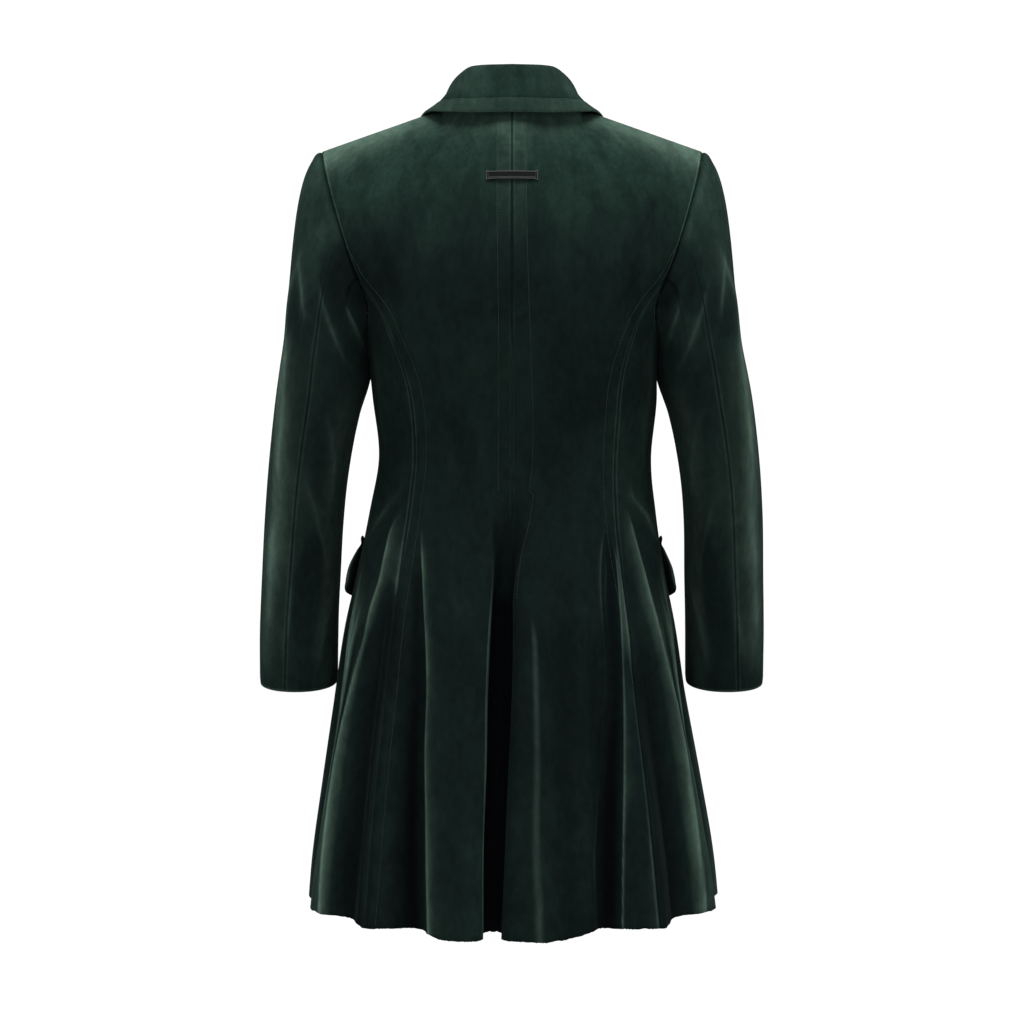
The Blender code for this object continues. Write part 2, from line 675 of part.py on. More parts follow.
def make_flaps(velvet):
    for side, name in ((1, "pocket_flap_left"), (-1, "pocket_flap_right")):
        grid = []
        normals = []
        for i in range(6):
            down = i / 5
            row = []
            row_normals = []
            for j in range(11):
                share = j / 10
                z = FLAP_TOP + (FLAP_BOTTOM - FLAP_TOP) * down - 0.010 * share
                angle = side * radians(FLAP_BACK + (FLAP_FRONT - FLAP_BACK) * share)
                out = body_normal(angle, z)
                stand_off = FLAP_STAND_OFF * down**1.2
                row.append(body_point(angle, z) + out * (stand_off + LIFT + WALL))
                row_normals.append(out)
            grid.append(row)
            normals.append(row_normals)
        grid = np.array(grid)
        wall(name, grid, grid - np.array(normals) * WALL, velvet)


def upper_back_at(across, z):
    # Where the back lies at a place across and a level above the chest
    share = abs(across) / 0.17
    up = (z - CHEST_LEVEL) / (CENTRE_BACK[-1, 2] - CHEST_LEVEL)
    for _ in range(12):
        point = back_upper_point(share, up)
        share = max(share + (abs(across) - point[0]) / 0.18, 0.0)
        up += (z - point[2]) / 0.19
    return back_upper_point(share, up) * (np.sign(across) or 1, 1, 1)


def make_loop(leather):
    grid = []
    for i in range(3):
        row = []
        for j in range(9):
            across = LOOP_LENGTH * (j / 8 - 0.5)
            flare = 1 + 0.10 * abs(2 * j / 8 - 1) ** 6
            z = LOOP_LEVEL + LOOP_HEIGHT * (i / 2 - 0.5) * flare
            lift = LIFT + LOOP_WALL + 0.0015 * sin(pi * j / 8)
            row.append(upper_back_at(across, z) + np.array((0.0, lift, 0.0)))
        grid.append(row)
    grid = np.array(grid)
    wall("hanging_loop", grid, grid - np.array((0.0, LOOP_WALL, 0.0)), leather)


def make_buttons(horn):
    for number, level in enumerate(BUTTON_LEVELS, 1):
        face = body_point(pi, level)
        slope = body_normal(pi, level)
        mesh = bmesh.new()
        bmesh.ops.create_cone(
            mesh,
            cap_ends=True,
            segments=24,
            radius1=BUTTON_RADIUS,
            radius2=BUTTON_RADIUS * 0.86,
            depth=BUTTON_THICK,
        )
        data = bpy.data.meshes.new(f"button_{number}")
        mesh.to_mesh(data)
        mesh.free()
        data.materials.append(horn)
        data.shade_smooth()
        button = bpy.data.objects.new(f"button_{number}", data)
        bpy.context.collection.objects.link(button)
        tilt = np.arctan2(slope[2], -slope[1])
        button.rotation_euler = (pi / 2 + tilt * -1, 0.0, 0.0)
        away = np.array((0.0, slope[1], slope[2]))
        button.location = face + away * (BUTTON_THICK / 2 + 0.0008)


def main():
    for obj in list(bpy.data.objects):
        bpy.data.objects.remove(obj)
    velvet = new_material("green velvet", (0.010, 0.026, 0.022), 0.85)
    leather = new_material("dark leather", (0.020, 0.020, 0.021), 0.55)
    horn = new_material("dark horn", (0.015, 0.014, 0.012), 0.35)
    make_backs(velvet)
    make_sides(velvet)
    make_fronts(velvet)
    make_lapels(velvet)
    make_sleeves(velvet)
    make_collar(velvet)
    make_flaps(velvet)
    make_loop(leather)
    make_buttons(horn)


main()
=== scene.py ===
from math import cos, pi, radians, sin

import bmesh
import bpy
import numpy as np
from mathutils import Matrix, Vector


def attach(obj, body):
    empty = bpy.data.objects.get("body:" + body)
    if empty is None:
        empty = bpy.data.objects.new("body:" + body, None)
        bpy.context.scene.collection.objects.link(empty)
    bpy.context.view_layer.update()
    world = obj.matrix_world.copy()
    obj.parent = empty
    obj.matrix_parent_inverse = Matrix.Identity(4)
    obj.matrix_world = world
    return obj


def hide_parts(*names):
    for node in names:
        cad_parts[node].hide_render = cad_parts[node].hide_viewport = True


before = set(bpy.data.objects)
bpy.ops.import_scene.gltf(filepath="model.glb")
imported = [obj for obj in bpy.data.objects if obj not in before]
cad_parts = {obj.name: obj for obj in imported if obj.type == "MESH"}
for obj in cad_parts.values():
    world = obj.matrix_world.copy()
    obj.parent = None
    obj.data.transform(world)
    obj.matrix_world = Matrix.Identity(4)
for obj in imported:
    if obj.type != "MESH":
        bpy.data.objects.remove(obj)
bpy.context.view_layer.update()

# Velvet coat, seen from the back, filled out as worn. +Z up, front faces -Y, wearer's left is +X.

cameraView = {"place": (0.0, 2.8, -0.422), "lens": 93.305, "sensor": 36.0}


def makeCamera():
    data = bpy.data.cameras.new("camera")
    data.lens = cameraView["lens"]
    data.sensor_width = cameraView["sensor"]
    camera = bpy.data.objects.new("camera", data)
    camera.location = cameraView["place"]
    camera.rotation_euler = (pi / 2, 0.0, pi)
    bpy.context.collection.objects.link(camera)
    bpy.context.scene.camera = camera


makeCamera()
print("camera set")


# small helpers

def curveAt(table, t):
    # smooth curve through the rows of a table, first column is the key
    table = np.asarray(table, float)
    if table[0, 0] > table[-1, 0]:
        table = table[::-1]
    keys, rows = table[:, 0], table[:, 1:]
    t = np.clip(np.asarray(t, float), keys[0], keys[-1])
    i = np.clip(np.searchsorted(keys, t, side="right") - 1, 0, len(keys) - 2)
    slopes = np.gradient(rows, keys, axis=0)
    width = (keys[i + 1] - keys[i])[..., None]
    u = (t - keys[i])[..., None] / width
    return (
        rows[i] * (2 * u**3 - 3 * u**2 + 1)
        + rows[i + 1] * (3 * u**2 - 2 * u**3)
        + slopes[i] * width * (u**3 - 2 * u**2 + u)
        + slopes[i + 1] * width * (u**3 - u**2)
    )


def along(points, share):
    points = np.asarray(points, float)
    return curveAt(np.column_stack([np.linspace(0, 1, len(points)), points]), share)


def smoothStep(value, start, end):
    u = np.clip((value - start) / (end - start), 0.0, 1.0)
    return u * u * (3 - 2 * u)


def unit(vectors):
    return vectors / np.linalg.norm(vectors, axis=-1, keepdims=True)


def bump(offset):
    return np.exp(-offset * offset)


def stripe(distance, strength, at, width):
    # a light, dark, raised or sunk line at a distance from an edge
    return strength * bump((distance - at) / width)


# the body's form

# wall in metres; each seam line: strength, distance from the seam, width; the seam light is a
# painted highlight, the seam shade painted shade
cloth = {
    "wall": 0.002, "seamDip": (0.0008, 0, 0.0011), "seamLight": (0.14, 0.0022, 0.0009),
    "seamShade": (0.30, 0, 0.0006),
}
levels = {
    "chest": -0.180, "underarm": -0.235, "lapelBreak": -0.262, "parting": -0.203, "hem": -0.839,
}
# the hem hangs lower at the back and rises at the sides, angles in degrees from the centre back
hemForm = {
    "backDroop": 0.009, "droopWidth": 19.5, "droopEdge": 8, "sideRise": 0.010, "riseFrom": 42.0,
    "riseTo": 72.0, "wavers": ((0.0003, 173, 4, 61), (0.0003, 911, 5, 240)),
}

# level, half width, depth to the back, depth to the front
sections = np.array([
    (-0.180, 0.1720, 0.1130, 0.1180),
    (-0.215, 0.1630, 0.1120, 0.1290),
    (-0.262, 0.1525, 0.1060, 0.1330),
    (-0.304, 0.1495, 0.0960, 0.1230),
    (-0.367, 0.1435, 0.0840, 0.1080),
    (-0.420, 0.1505, 0.0900, 0.1120),
    (-0.486, 0.1620, 0.1070, 0.1240),
    (-0.536, 0.1730, 0.1190, 0.1330),
    (-0.620, 0.1860, 0.1330, 0.1450),
    (-0.704, 0.1990, 0.1480, 0.1570),
    (-0.789, 0.2110, 0.1640, 0.1680),
    (-0.850, 0.2160, 0.1740, 0.1750),
])
squareness = 2.3
sway = np.array([
    (-0.180, 0.0), (-0.240, 0.0), (-0.270, -0.0012), (-0.304, -0.0030), (-0.335, -0.0036),
    (-0.367, -0.0031), (-0.400, -0.0015), (-0.440, 0.0), (-0.850, 0.0),
])

# shaped seams: level, distance from the middle
backSeam = np.array([
    (-0.180, 0.1600), (-0.199, 0.1460), (-0.218, 0.1340), (-0.243, 0.1240), (-0.289, 0.1100),
    (-0.333, 0.1050), (-0.367, 0.1035), (-0.416, 0.1060), (-0.480, 0.1130), (-0.537, 0.1200),
    (-0.610, 0.1260), (-0.712, 0.1350), (-0.850, 0.1450),
])
frontSeam = np.array([
    (-0.180, 0.1600), (-0.250, 0.1440), (-0.310, 0.1300), (-0.375, 0.1240), (-0.486, 0.1420),
    (-0.620, 0.1650), (-0.850, 0.1900),
])

# upper edges, from the chest level to the shoulder
centreBack = np.array([
    (0.0, 0.1130, -0.180), (0.0, 0.1105, -0.140), (0.0, 0.1020, -0.090), (0.0, 0.0870, -0.040),
    (0.0, 0.0660, 0.004),
])
backArmhole = np.array([
    (0.1600, 0.0532, -0.180), (0.1695, 0.0520, -0.155), (0.1795, 0.0470, -0.125),
    (0.1885, 0.0370, -0.095), (0.1960, 0.0220, -0.066), (0.2005, 0.0000, -0.042),
])
frontArmhole = np.array([
    (0.1600, -0.0555, -0.180), (0.1610, -0.0590, -0.155), (0.1680, -0.0570, -0.125),
    (0.1790, -0.0460, -0.095), (0.1910, -0.0270, -0.066), (0.2005, 0.0000, -0.042),
])
rollLine = np.array([
    (0.0090, -0.1176, -0.180), (0.0300, -0.1080, -0.120), (0.0480, -0.0880, -0.070),
    (0.0620, -0.0580, -0.028), (0.0700, -0.0270, -0.005), (0.0720, 0.0000, 0.0035),
])
neckPoint = np.array((0.0720, 0.0, 0.0035))
neckForm = {"back": 0.066, "height": 0.004, "share": 0.36, "round": 0.9, "curve": 0.68, "fade": 6}
# how the upper back and fronts leave the chest's roundness and take the shoulder's
upperForm = {"chestFade": 1.3, "shoulderGrowth": 3}

# how fast the skirt's folds grow and turn toward the hem, and how much painted shade and painted
# highlight the pile gets on them
foldForm = {"growth": 0.6, "turn": 0.7, "paintedShade": 26, "paintedHighlight": 14}
# big folds of the skirt: side, level of the start, angle from centre back there and at the hem,
# half width in degrees, how far it stands out at the hem
skirtFolds = [
    (1, -0.440, 32.0, 26.0, 5.5, -0.018),
    (1, -0.420, 42.0, 38.5, 4.0, 0.008),
    (1, -0.470, 46.0, 52.0, 6.0, -0.016),
    (1, -0.420, 48.0, 67.0, 6.5, 0.007),
    (1, -0.470, 76.0, 82.0, 6.0, -0.014),
    (-1, -0.420, 34.0, 24.0, 5.5, -0.018),
    (-1, -0.440, 40.0, 40.5, 4.0, 0.009),
    (-1, -0.470, 46.0, 54.0, 6.5, -0.016),
    (-1, -0.420, 49.0, 68.0, 6.0, 0.009),
    (-1, -0.560, 5.0, 6.0, 4.0, 0.004),
    (-1, -0.480, 76.0, 84.0, 6.5, -0.014),
    (1, -0.460, 104.0, 100.0, 7.0, 0.004),
    (1, -0.440, 118.0, 117.0, 7.0, -0.018),
    (1, -0.430, 131.0, 134.0, 7.0, 0.011),
    (1, -0.460, 145.0, 151.0, 7.0, -0.018),
    (-1, -0.450, 106.0, 101.0, 7.0, 0.009),
    (-1, -0.440, 117.0, 114.0, 7.0, -0.016),
    (-1, -0.440, 129.0, 130.0, 7.0, 0.011),
    (-1, -0.450, 147.0, 148.0, 7.5, -0.020),
]

# how a crease ends, and how its painted highlight spreads: share of the light and how fast it falls
creaseForm = {
    "beyond": 0.004, "fade": 0.045, "nearHem": 0.05, "paintedHighlight": ((0.65, 3.2), (0.35, 1.1)),
    "steepSide": 3.6, "slowSide": ((0.6, 3.0), (0.4, 0.8)),
}
# creases laid one by one: side, half width in degrees, height, how light the crest is, the side on
# which the light fades slowly (1 away from the centre back, -1 toward it, 0 both), then level and
# angle from the centre back down the crease
# the light of each crease is painted: above 0 a painted highlight on the crest, below 0 painted
# shade in the valley
bodyCreases = [
    (1, 2.1, 0.0030, 0.90, -1, (  # ridge beside the pocket
        (-0.421, 47.2), (-0.437, 50.9), (-0.463, 51.5), (-0.491, 51.8), (-0.516, 53.5),
        (-0.544, 54.6), (-0.576, 56.7), (-0.613, 58.9), (-0.658, 61.3), (-0.704, 61.8),
        (-0.748, 61.9), (-0.825, 61.8),
    )),
    (1, 4.4, 0.0016, 0.35, 0, (  # upper ridge
        (-0.399, 50.4), (-0.412, 55.6), (-0.424, 60.8), (-0.448, 72.6), (-0.456, 75.1),
    )),
    (1, 5.6, 0.0016, 0.50, 0, (  # outer ridge
        (-0.468, 71.2), (-0.487, 73.1), (-0.511, 70.7), (-0.550, 67.1), (-0.605, 63.5),
    )),
    (1, 4.3, 0.0012, 0.45, 0, (  # outermost
        (-0.503, 75.4), (-0.524, 72.4), (-0.559, 69.1), (-0.606, 67.5), (-0.647, 67.8),
    )),
    (1, 2.7, 0.0018, 0.60, -1, (  # dim ridge
        (-0.512, 45.6), (-0.548, 45.1), (-0.609, 46.2), (-0.670, 47.4), (-0.760, 46.4),
    )),
    (1, 5.5, -0.0030, -0.90, 0, (  # valley by seam
        (-0.492, 43.2), (-0.517, 42.9), (-0.573, 43.2), (-0.634, 43.9), (-0.684, 44.0),
        (-0.763, 43.6), (-0.842, 43.2),
    )),
    (1, 4.5, -0.0025, -0.35, 0, (  # valley out
        (-0.523, 54.3), (-0.604, 53.3), (-0.696, 53.9), (-0.777, 54.4), (-0.842, 54.5),
    )),
    (1, 2.8, -0.0045, -0.50, 0, (  # valley by tongue
        (-0.463, 34.7), (-0.512, 31.4), (-0.592, 27.6), (-0.664, 26.8), (-0.735, 25.5),
        (-0.845, 23.2),
    )),
    (1, 4.3, -0.0015, -0.25, 0, (  # valley soft
        (-0.552, 34.7), (-0.613, 32.4), (-0.693, 30.7), (-0.762, 28.9), (-0.841, 27.0),
    )),
    (1, 1.2, 0.0014, 1.15, -1, (  # tongue edge
        (-0.440, 34.2), (-0.494, 29.9), (-0.556, 25.6), (-0.592, 24.3), (-0.663, 23.3),
        (-0.734, 21.6), (-0.844, 19.7),
    )),
    (1, 3.7, 0.0015, 0.00, 0, (  # tongue ridge
        (-0.471, 19.1), (-0.611, 14.5), (-0.759, 12.4), (-0.841, 11.4),
    )),
    (-1, 2.6, 0.0018, 0.26, 0, (  # tongue ridge
        (-0.511, 4.7), (-0.551, 5.9), (-0.601, 6.1), (-0.679, 5.8), (-0.749, 5.0), (-0.840, 5.4),
    )),
    (-1, 1.4, 0.0012, 0.40, -1, (  # tongue right edge
        (-0.424, 36.4), (-0.471, 32.1), (-0.525, 30.0), (-0.572, 29.4), (-0.653, 25.8),
        (-0.717, 22.6), (-0.769, 20.4), (-0.839, 20.0),
    )),
    (-1, 1.8, 0.0012, 0.14, 0, (  # tongue low ridge
        (-0.652, 24.4), (-0.712, 22.4), (-0.760, 20.3), (-0.839, 19.8),
    )),
    (-1, 3.4, -0.0045, -0.60, 0, (  # valley
        (-0.431, 36.7), (-0.476, 36.7), (-0.532, 34.4), (-0.603, 33.2), (-0.664, 29.7),
        (-0.735, 26.0), (-0.845, 22.9),
    )),
    (-1, 1.3, 0.0010, 0.85, 1, (  # valley edge right
        (-0.444, 38.6), (-0.475, 39.7), (-0.521, 38.4), (-0.565, 37.0), (-0.611, 35.7),
        (-0.655, 33.9), (-0.699, 32.1), (-0.743, 30.2), (-0.787, 28.7), (-0.835, 27.7),
    )),
    (-1, 2, 0.0030, 0.95, -1, (  # ridge A
        (-0.419, 49.1), (-0.437, 50.8), (-0.458, 52.1), (-0.481, 54.0), (-0.508, 55.4),
        (-0.549, 57.4), (-0.590, 59.6), (-0.622, 61.4), (-0.658, 61.9), (-0.704, 61.6),
        (-0.748, 61.8), (-0.830, 62.7),
    )),
    (-1, 4.9, 0.0016, 0.35, 0, (  # upper ridge
        (-0.389, 51.7), (-0.409, 55.1), (-0.424, 63.8), (-0.456, 80.6), (-0.464, 90.0),
    )),
    (-1, 5.6, 0.0014, 0.50, 0, (  # outer ridge
        (-0.468, 78.0), (-0.493, 75.4), (-0.542, 71.1), (-0.606, 66.3),
    )),
    (-1, 6.4, 0.0012, 0.45, 0, (  # outermost
        (-0.504, 85.0), (-0.524, 79.3), (-0.567, 74.7), (-0.611, 71.4), (-0.653, 70.7),
    )),
    (-1, 4.6, -0.0024, -0.30, 0, (  # valley by ridge
        (-0.522, 48.9), (-0.574, 50.7), (-0.645, 52.5), (-0.716, 52.6), (-0.831, 51.2),
    )),
    (-1, 4.5, -0.0022, -0.65, 0, (  # valley beside seam
        (-0.552, 42.1), (-0.613, 42.8), (-0.673, 43.0), (-0.743, 43.1), (-0.833, 44.3),
    )),
    (-1, 4.9, -0.0012, -0.35, 0, (  # tongue valley
        (-0.471, 15.2), (-0.551, 15.8), (-0.631, 14.5), (-0.710, 13.1), (-0.837, 12.7),
    )),
    (-1, 1.6, 0.0006, 0.55, -1, (  # tongue right edge, upper
        (-0.440, 34.5), (-0.471, 34.5), (-0.512, 32.3), (-0.552, 31.2),
    )),
    (1, 1.5, 0.0010, 0.55, 0, (  # fold beside the ridge
        (-0.505, 63.0), (-0.554, 64.0), (-0.600, 65.2), (-0.650, 66.6), (-0.700, 67.5),
        (-0.760, 68.0),
    )),
    (1, 1.3, -0.0012, -0.70, 0, (  # slit beside the ridge
        (-0.538, 60.0), (-0.576, 61.3), (-0.613, 62.7), (-0.650, 64.3), (-0.690, 65.0),
    )),
    (-1, 1.5, 0.0010, 0.55, 0, (  # fold beside the ridge
        (-0.500, 67.5), (-0.555, 68.3), (-0.600, 68.6), (-0.640, 68.2), (-0.690, 67.6),
        (-0.750, 67.5),
    )),
    (-1, 1.3, -0.0012, -0.70, 0, (  # slit beside the ridge
        (-0.534, 63.5), (-0.567, 64.5), (-0.600, 65.2), (-0.630, 65.4), (-0.665, 65.2),
    )),
    (1, 6.3, -0.0013, -0.30, 0, (  # blade hollow
        (-0.090, 68.8), (-0.105, 63.4), (-0.134, 54.6), (-0.166, 47.1), (-0.195, 43.0),
        (-0.236, 43.8),
    )),
    (1, 6, 0.0009, 0.00, 0, (  # blade ridge
        (-0.127, 54.6), (-0.154, 44.8), (-0.185, 40.1), (-0.226, 40.0), (-0.266, 41.1),
    )),
    (-1, 6.1, -0.0013, -0.30, 0, (  # blade hollow
        (-0.076, 65.4), (-0.095, 59.1), (-0.135, 50.0), (-0.166, 45.9), (-0.205, 44.2),
        (-0.241, 45.5),
    )),
    (-1, 6, 0.0009, 0.00, 0, (  # blade ridge
        (-0.122, 51.9), (-0.148, 47.1), (-0.185, 43.2), (-0.225, 44.0), (-0.266, 43.4),
    )),
    (1, 7, 0.0008, 0.00, 0, (  # waist drag
        (-0.156, 21.9), (-0.207, 19.2), (-0.257, 19.3), (-0.328, 24.0),
    )),
    (-1, 7, 0.0008, 0.00, 0, (  # waist drag
        (-0.166, 20.5), (-0.217, 19.0), (-0.267, 17.7), (-0.338, 20.3),
    )),
    (1, 10.3, 0.0010, 0.08, 0, (  # side drag
        (-0.234, 64.4), (-0.275, 66.8), (-0.326, 69.7), (-0.378, 70.7),
    )),
    (-1, 8.1, 0.0010, 0.08, 0, (  # side drag
        (-0.233, 68.1), (-0.275, 68.4), (-0.326, 64.8), (-0.378, 69.1),
    )),
]


def angleAt(across, z):
    halfWidth = curveAt(sections, z)[..., 0]
    share = np.minimum(np.abs(across) / halfWidth, 1.0) ** (squareness / 2)
    return np.sign(across) * np.arcsin(share)


def creaseShare(crease, degreesRound, z):
    # how strongly each place lies on one crease, and on its crest alone, where its painted light
    # goes: a highlight on a crest, shade in a valley
    c = creaseForm
    side, halfWidth, _, light, lean, line = crease
    line = np.array(line, float)
    top, bottom = line[:, 0].max(), line[:, 0].min()
    middle = curveAt(line, z)[..., 0]
    fade = smoothStep(z, top + c["beyond"], top - c["fade"])
    if bottom > levels["hem"] + c["nearHem"]:
        fade = fade * smoothStep(z, bottom - c["beyond"], bottom + c["fade"])
    offset = (degreesRound * side - middle) / halfWidth
    if light <= 0:
        return bump(offset) * fade, bump(offset) * fade
    paintedHighlight = sum(share * bump(offset * fall) for share, fall in c["paintedHighlight"])
    if lean:
        slow = offset * lean
        tail = sum(share * np.exp(-fall * abs(slow)) for share, fall in c["slowSide"])
        paintedHighlight = np.where(slow < 0, bump(slow * c["steepSide"]), tail)
    return bump(offset) * fade, paintedHighlight * fade


def skirtFoldHeight(angle, z):
    around = np.degrees(angle)
    height = np.zeros(np.shape(around))
    for side, start, angleStart, angleHem, halfWidth, standOut in skirtFolds:
        growth = smoothStep(z, start, levels["hem"]) ** foldForm["growth"]
        share = np.clip((z - start) / (levels["hem"] - start), 0.0, 1.0)
        middle = angleStart + (angleHem - angleStart) * share ** foldForm["turn"]
        height = height + standOut * growth * bump((around * side - middle) / halfWidth)
    return height


def creasesAt(angle, z):
    # height of the creases, and the painted highlight and painted shade on the pile along them
    around = np.degrees(angle)
    folds = skirtFoldHeight(angle, z)
    height = np.zeros(np.shape(around))
    light = foldForm["paintedShade"] * np.minimum(folds, 0) + foldForm["paintedHighlight"] * np.maximum(folds, 0)
    for crease in bodyCreases:
        on, paintedHighlight = creaseShare(crease, around, z)
        height, light = height + crease[2] * on, light + crease[3] * paintedHighlight
    return height, light


def angleOn(points):
    # the angle from the centre back at which points of the back or the front lie
    z = points[..., 2]
    angle = angleAt(points[..., 0] - curveAt(sway, z)[..., 0], z)
    return np.where(points[..., 1] < 0, np.sign(points[..., 0] + 1e-9) * pi - angle, angle)


def bodyPoint(angle, z, creased=True):
    angle, z = np.broadcast_arrays(np.asarray(angle, float), np.asarray(z, float))
    halfWidth, back, front = np.moveaxis(curveAt(sections, z), -1, 0)
    across, deep = np.sin(angle), np.cos(angle)
    depth = np.where(deep > 0, back, front)
    x = halfWidth * np.sign(across) * np.abs(across) ** (2 / squareness)
    y = depth * np.sign(deep) * np.abs(deep) ** (2 / squareness)
    out = unit(np.stack([x / halfWidth**2, y / depth**2, 0 * x], -1))
    point = np.stack([x + curveAt(sway, z)[..., 0], y, z], -1)
    height = skirtFoldHeight(angle, z)
    if creased:
        height = height + creasesAt(angle, z)[0]
    return point + out * height[..., None]


def bodyNormal(angle, z):
    aroundIt = bodyPoint(angle + 0.02, z) - bodyPoint(angle - 0.02, z)
    up = bodyPoint(angle, z + 0.002) - bodyPoint(angle, z - 0.002)
    return unit(np.cross(aroundIt, up))


def hemLevel(angle):
    h = hemForm
    angle = np.abs(angle)
    rise = h["sideRise"] * smoothStep(angle, radians(h["riseFrom"]), radians(h["riseTo"]))
    drop = h["backDroop"] / (1 + (angle / radians(h["droopWidth"])) ** h["droopEdge"])
    return levels["hem"] + rise - drop


def shoulderEdge(share):
    n = neckForm
    turn = np.clip(share / n["share"], 0.0, 1.0) * pi / 2
    x = neckPoint[0] * np.sin(turn) ** n["round"]
    y = n["back"] * np.maximum(np.cos(turn), 0.0) ** n["round"]
    neck = np.stack([x, y, n["height"] + (neckPoint[2] - n["height"]) * turn / (pi / 2)], -1)
    rest = np.clip((share - n["share"]) / (1 - n["share"]), 0.0, 1.0)[..., None]
    return np.where(rest > 0, neckPoint + (backArmhole[-1] - neckPoint) * rest, neck)


def upperPatch(share, up, lower, innerEdge, outerEdge, top):
    # ruled between its edges, deep as the chest line almost up to the shoulder
    fade, growth = upperForm["chestFade"], upperForm["shoulderGrowth"]
    share, up = share[..., None], up[..., None]
    bottomLine = lower[0] + (lower[2] - lower[0]) * share
    topLine = top[0] + (top[2] - top[0]) * share
    point = innerEdge + (outerEdge - innerEdge) * share
    point = point + (lower[1] - bottomLine) * (1 - up) ** fade + (top[1] - topLine) * up**growth
    rounded = (lower[1][..., 1] - lower[2][1]) / (lower[0][1] - lower[2][1])
    if top[0][1] != top[2][1]:
        topRound = (top[1][..., 1] - top[2][1]) / (top[0][1] - top[2][1])
        rounded = rounded + (topRound - rounded) * up[..., 0] ** growth
    point[..., 1] = outerEdge[..., 1] + (innerEdge[..., 1] - outerEdge[..., 1]) * rounded
    return point


def backUpper(share, up):
    share, up = np.broadcast_arrays(np.asarray(share, float), np.asarray(up, float))
    chest = levels["chest"]
    seamAngle = angleAt(backSeam[0, 1], chest)
    lower = [bodyPoint(a, chest, False) for a in (0.0, seamAngle * share, seamAngle)]
    top = [shoulderEdge(np.array(0.0)), shoulderEdge(share), shoulderEdge(np.array(1.0))]
    neckLine = top[0] + (top[2] - top[0]) * neckForm["share"]
    across = share[..., None]
    soft = top[0] + (top[2] - top[0]) * across
    soft = soft + (neckPoint - neckLine) * np.sin(pi * across ** neckForm["curve"])
    soft[..., 1] = top[0][1] * (1 - share) ** 2
    top[1] = soft + (top[1] - soft) * up[..., None] ** neckForm["fade"]
    return upperPatch(share, up, lower, along(centreBack, up), along(backArmhole, up), top)


def frontUpper(share, up):
    share, up = np.broadcast_arrays(np.asarray(share, float), np.asarray(up, float))
    chest = levels["chest"]
    inner = pi - angleAt(rollLine[0, 0], chest)
    outer = pi - angleAt(frontSeam[0, 1], chest)
    lower = [bodyPoint(inner + (outer - inner) * s, chest, False) for s in (0.0, share, 1.0)]
    shoulder = frontArmhole[-1]
    top = [neckPoint, neckPoint + (shoulder - neckPoint) * share[..., None], shoulder]
    return upperPatch(share, up, lower, along(rollLine, up), along(frontArmhole, up), top)


def spread(count, crowd=0.6):
    # shares from 0 to 1 that lie closer together at both ends, where the seams are
    t = np.linspace(0, 1, count)
    return t - crowd * np.sin(2 * pi * t) / (2 * pi)


def gridNormals(points, outward):
    normals = unit(np.cross(np.gradient(points, axis=0), np.gradient(points, axis=1)))
    middle = (points.shape[0] // 2, points.shape[1] // 2)
    return -normals if normals[middle] @ outward < 0 else normals


def rowDistance(points, last=False):
    # how far along its row each point lies from the first column, or from the last
    steps = np.linalg.norm(np.diff(points, axis=1), axis=2)
    run = np.concatenate([np.zeros((len(points), 1)), np.cumsum(steps, axis=1)], axis=1)
    return run[:, -1:] - run if last else run


def columnDistance(points, last=False):
    return rowDistance(points.transpose(1, 0, 2), last).T


def softenRows(points, row, reach, passes=14):
    # takes the crease out of the cloth where two forms meet at one row
    for _ in range(passes):
        a, b = row - reach, row + reach
        middle = (points[a - 1:b - 1] + 2 * points[a:b] + points[a + 1:b + 1]) / 4
        points[a:b] = middle
    return points


def seamEdge(distance):
    # the dip beside a seam, a painted highlight on the pile's edge next to it and a thin painted
    # shade in the seam
    light = stripe(distance, *cloth["seamLight"]) - stripe(distance, *cloth["seamShade"])
    return -stripe(distance, *cloth["seamDip"]), light


# materials

def addNode(tree, kind, inputs=None, **settings):
    node = tree.nodes.new(kind)
    for name, value in settings.items():
        setattr(node, name, value)
    for name, value in (inputs or {}).items():
        if isinstance(value, bpy.types.NodeSocket):
            tree.links.new(value, node.inputs[name])
        else:
            node.inputs[name].default_value = value
    return node


def mathNode(tree, operation, a, b=0.5, c=None, clamp=False):
    node = addNode(tree, "ShaderNodeMath", operation=operation, use_clamp=clamp)
    for socket, value in zip(node.inputs, (a, b, c)):
        if isinstance(value, bpy.types.NodeSocket):
            tree.links.new(value, socket)
        elif value is not None:
            socket.default_value = value
    return node.outputs[0]


def rangeNode(tree, value, low, high, newLow=0.0, newHigh=1.0):
    node = addNode(tree, "ShaderNodeMapRange", {
        "Value": value, "From Min": low, "From Max": high, "To Min": newLow, "To Max": newHigh,
    }, interpolation_type="SMOOTHSTEP")
    return node.outputs["Result"]


def mixColor(tree, factor, a, b, blend="MIX"):
    node = addNode(tree, "ShaderNodeMix", data_type="RGBA", blend_type=blend)
    for socket, value in ((node.inputs[0], factor), (node.inputs[6], a), (node.inputs[7], b)):
        if isinstance(value, bpy.types.NodeSocket):
            tree.links.new(value, socket)
        else:
            socket.default_value = value
    return node.outputs[2]


def noiseNode(tree, vector, scale, detail=3.0, roughness=0.55, distortion=0.0):
    node = addNode(tree, "ShaderNodeTexNoise", {
        "Vector": vector, "Scale": scale, "Detail": detail, "Roughness": roughness,
        "Distortion": distortion,
    })
    return node.outputs["Fac"]


def stretched(tree, vector, scale):
    node = addNode(tree, "ShaderNodeMapping", {"Vector": vector, "Scale": scale})
    return node.outputs["Vector"]


def patternPlace(tree):
    return addNode(tree, "ShaderNodeTexCoord").outputs["Object"]


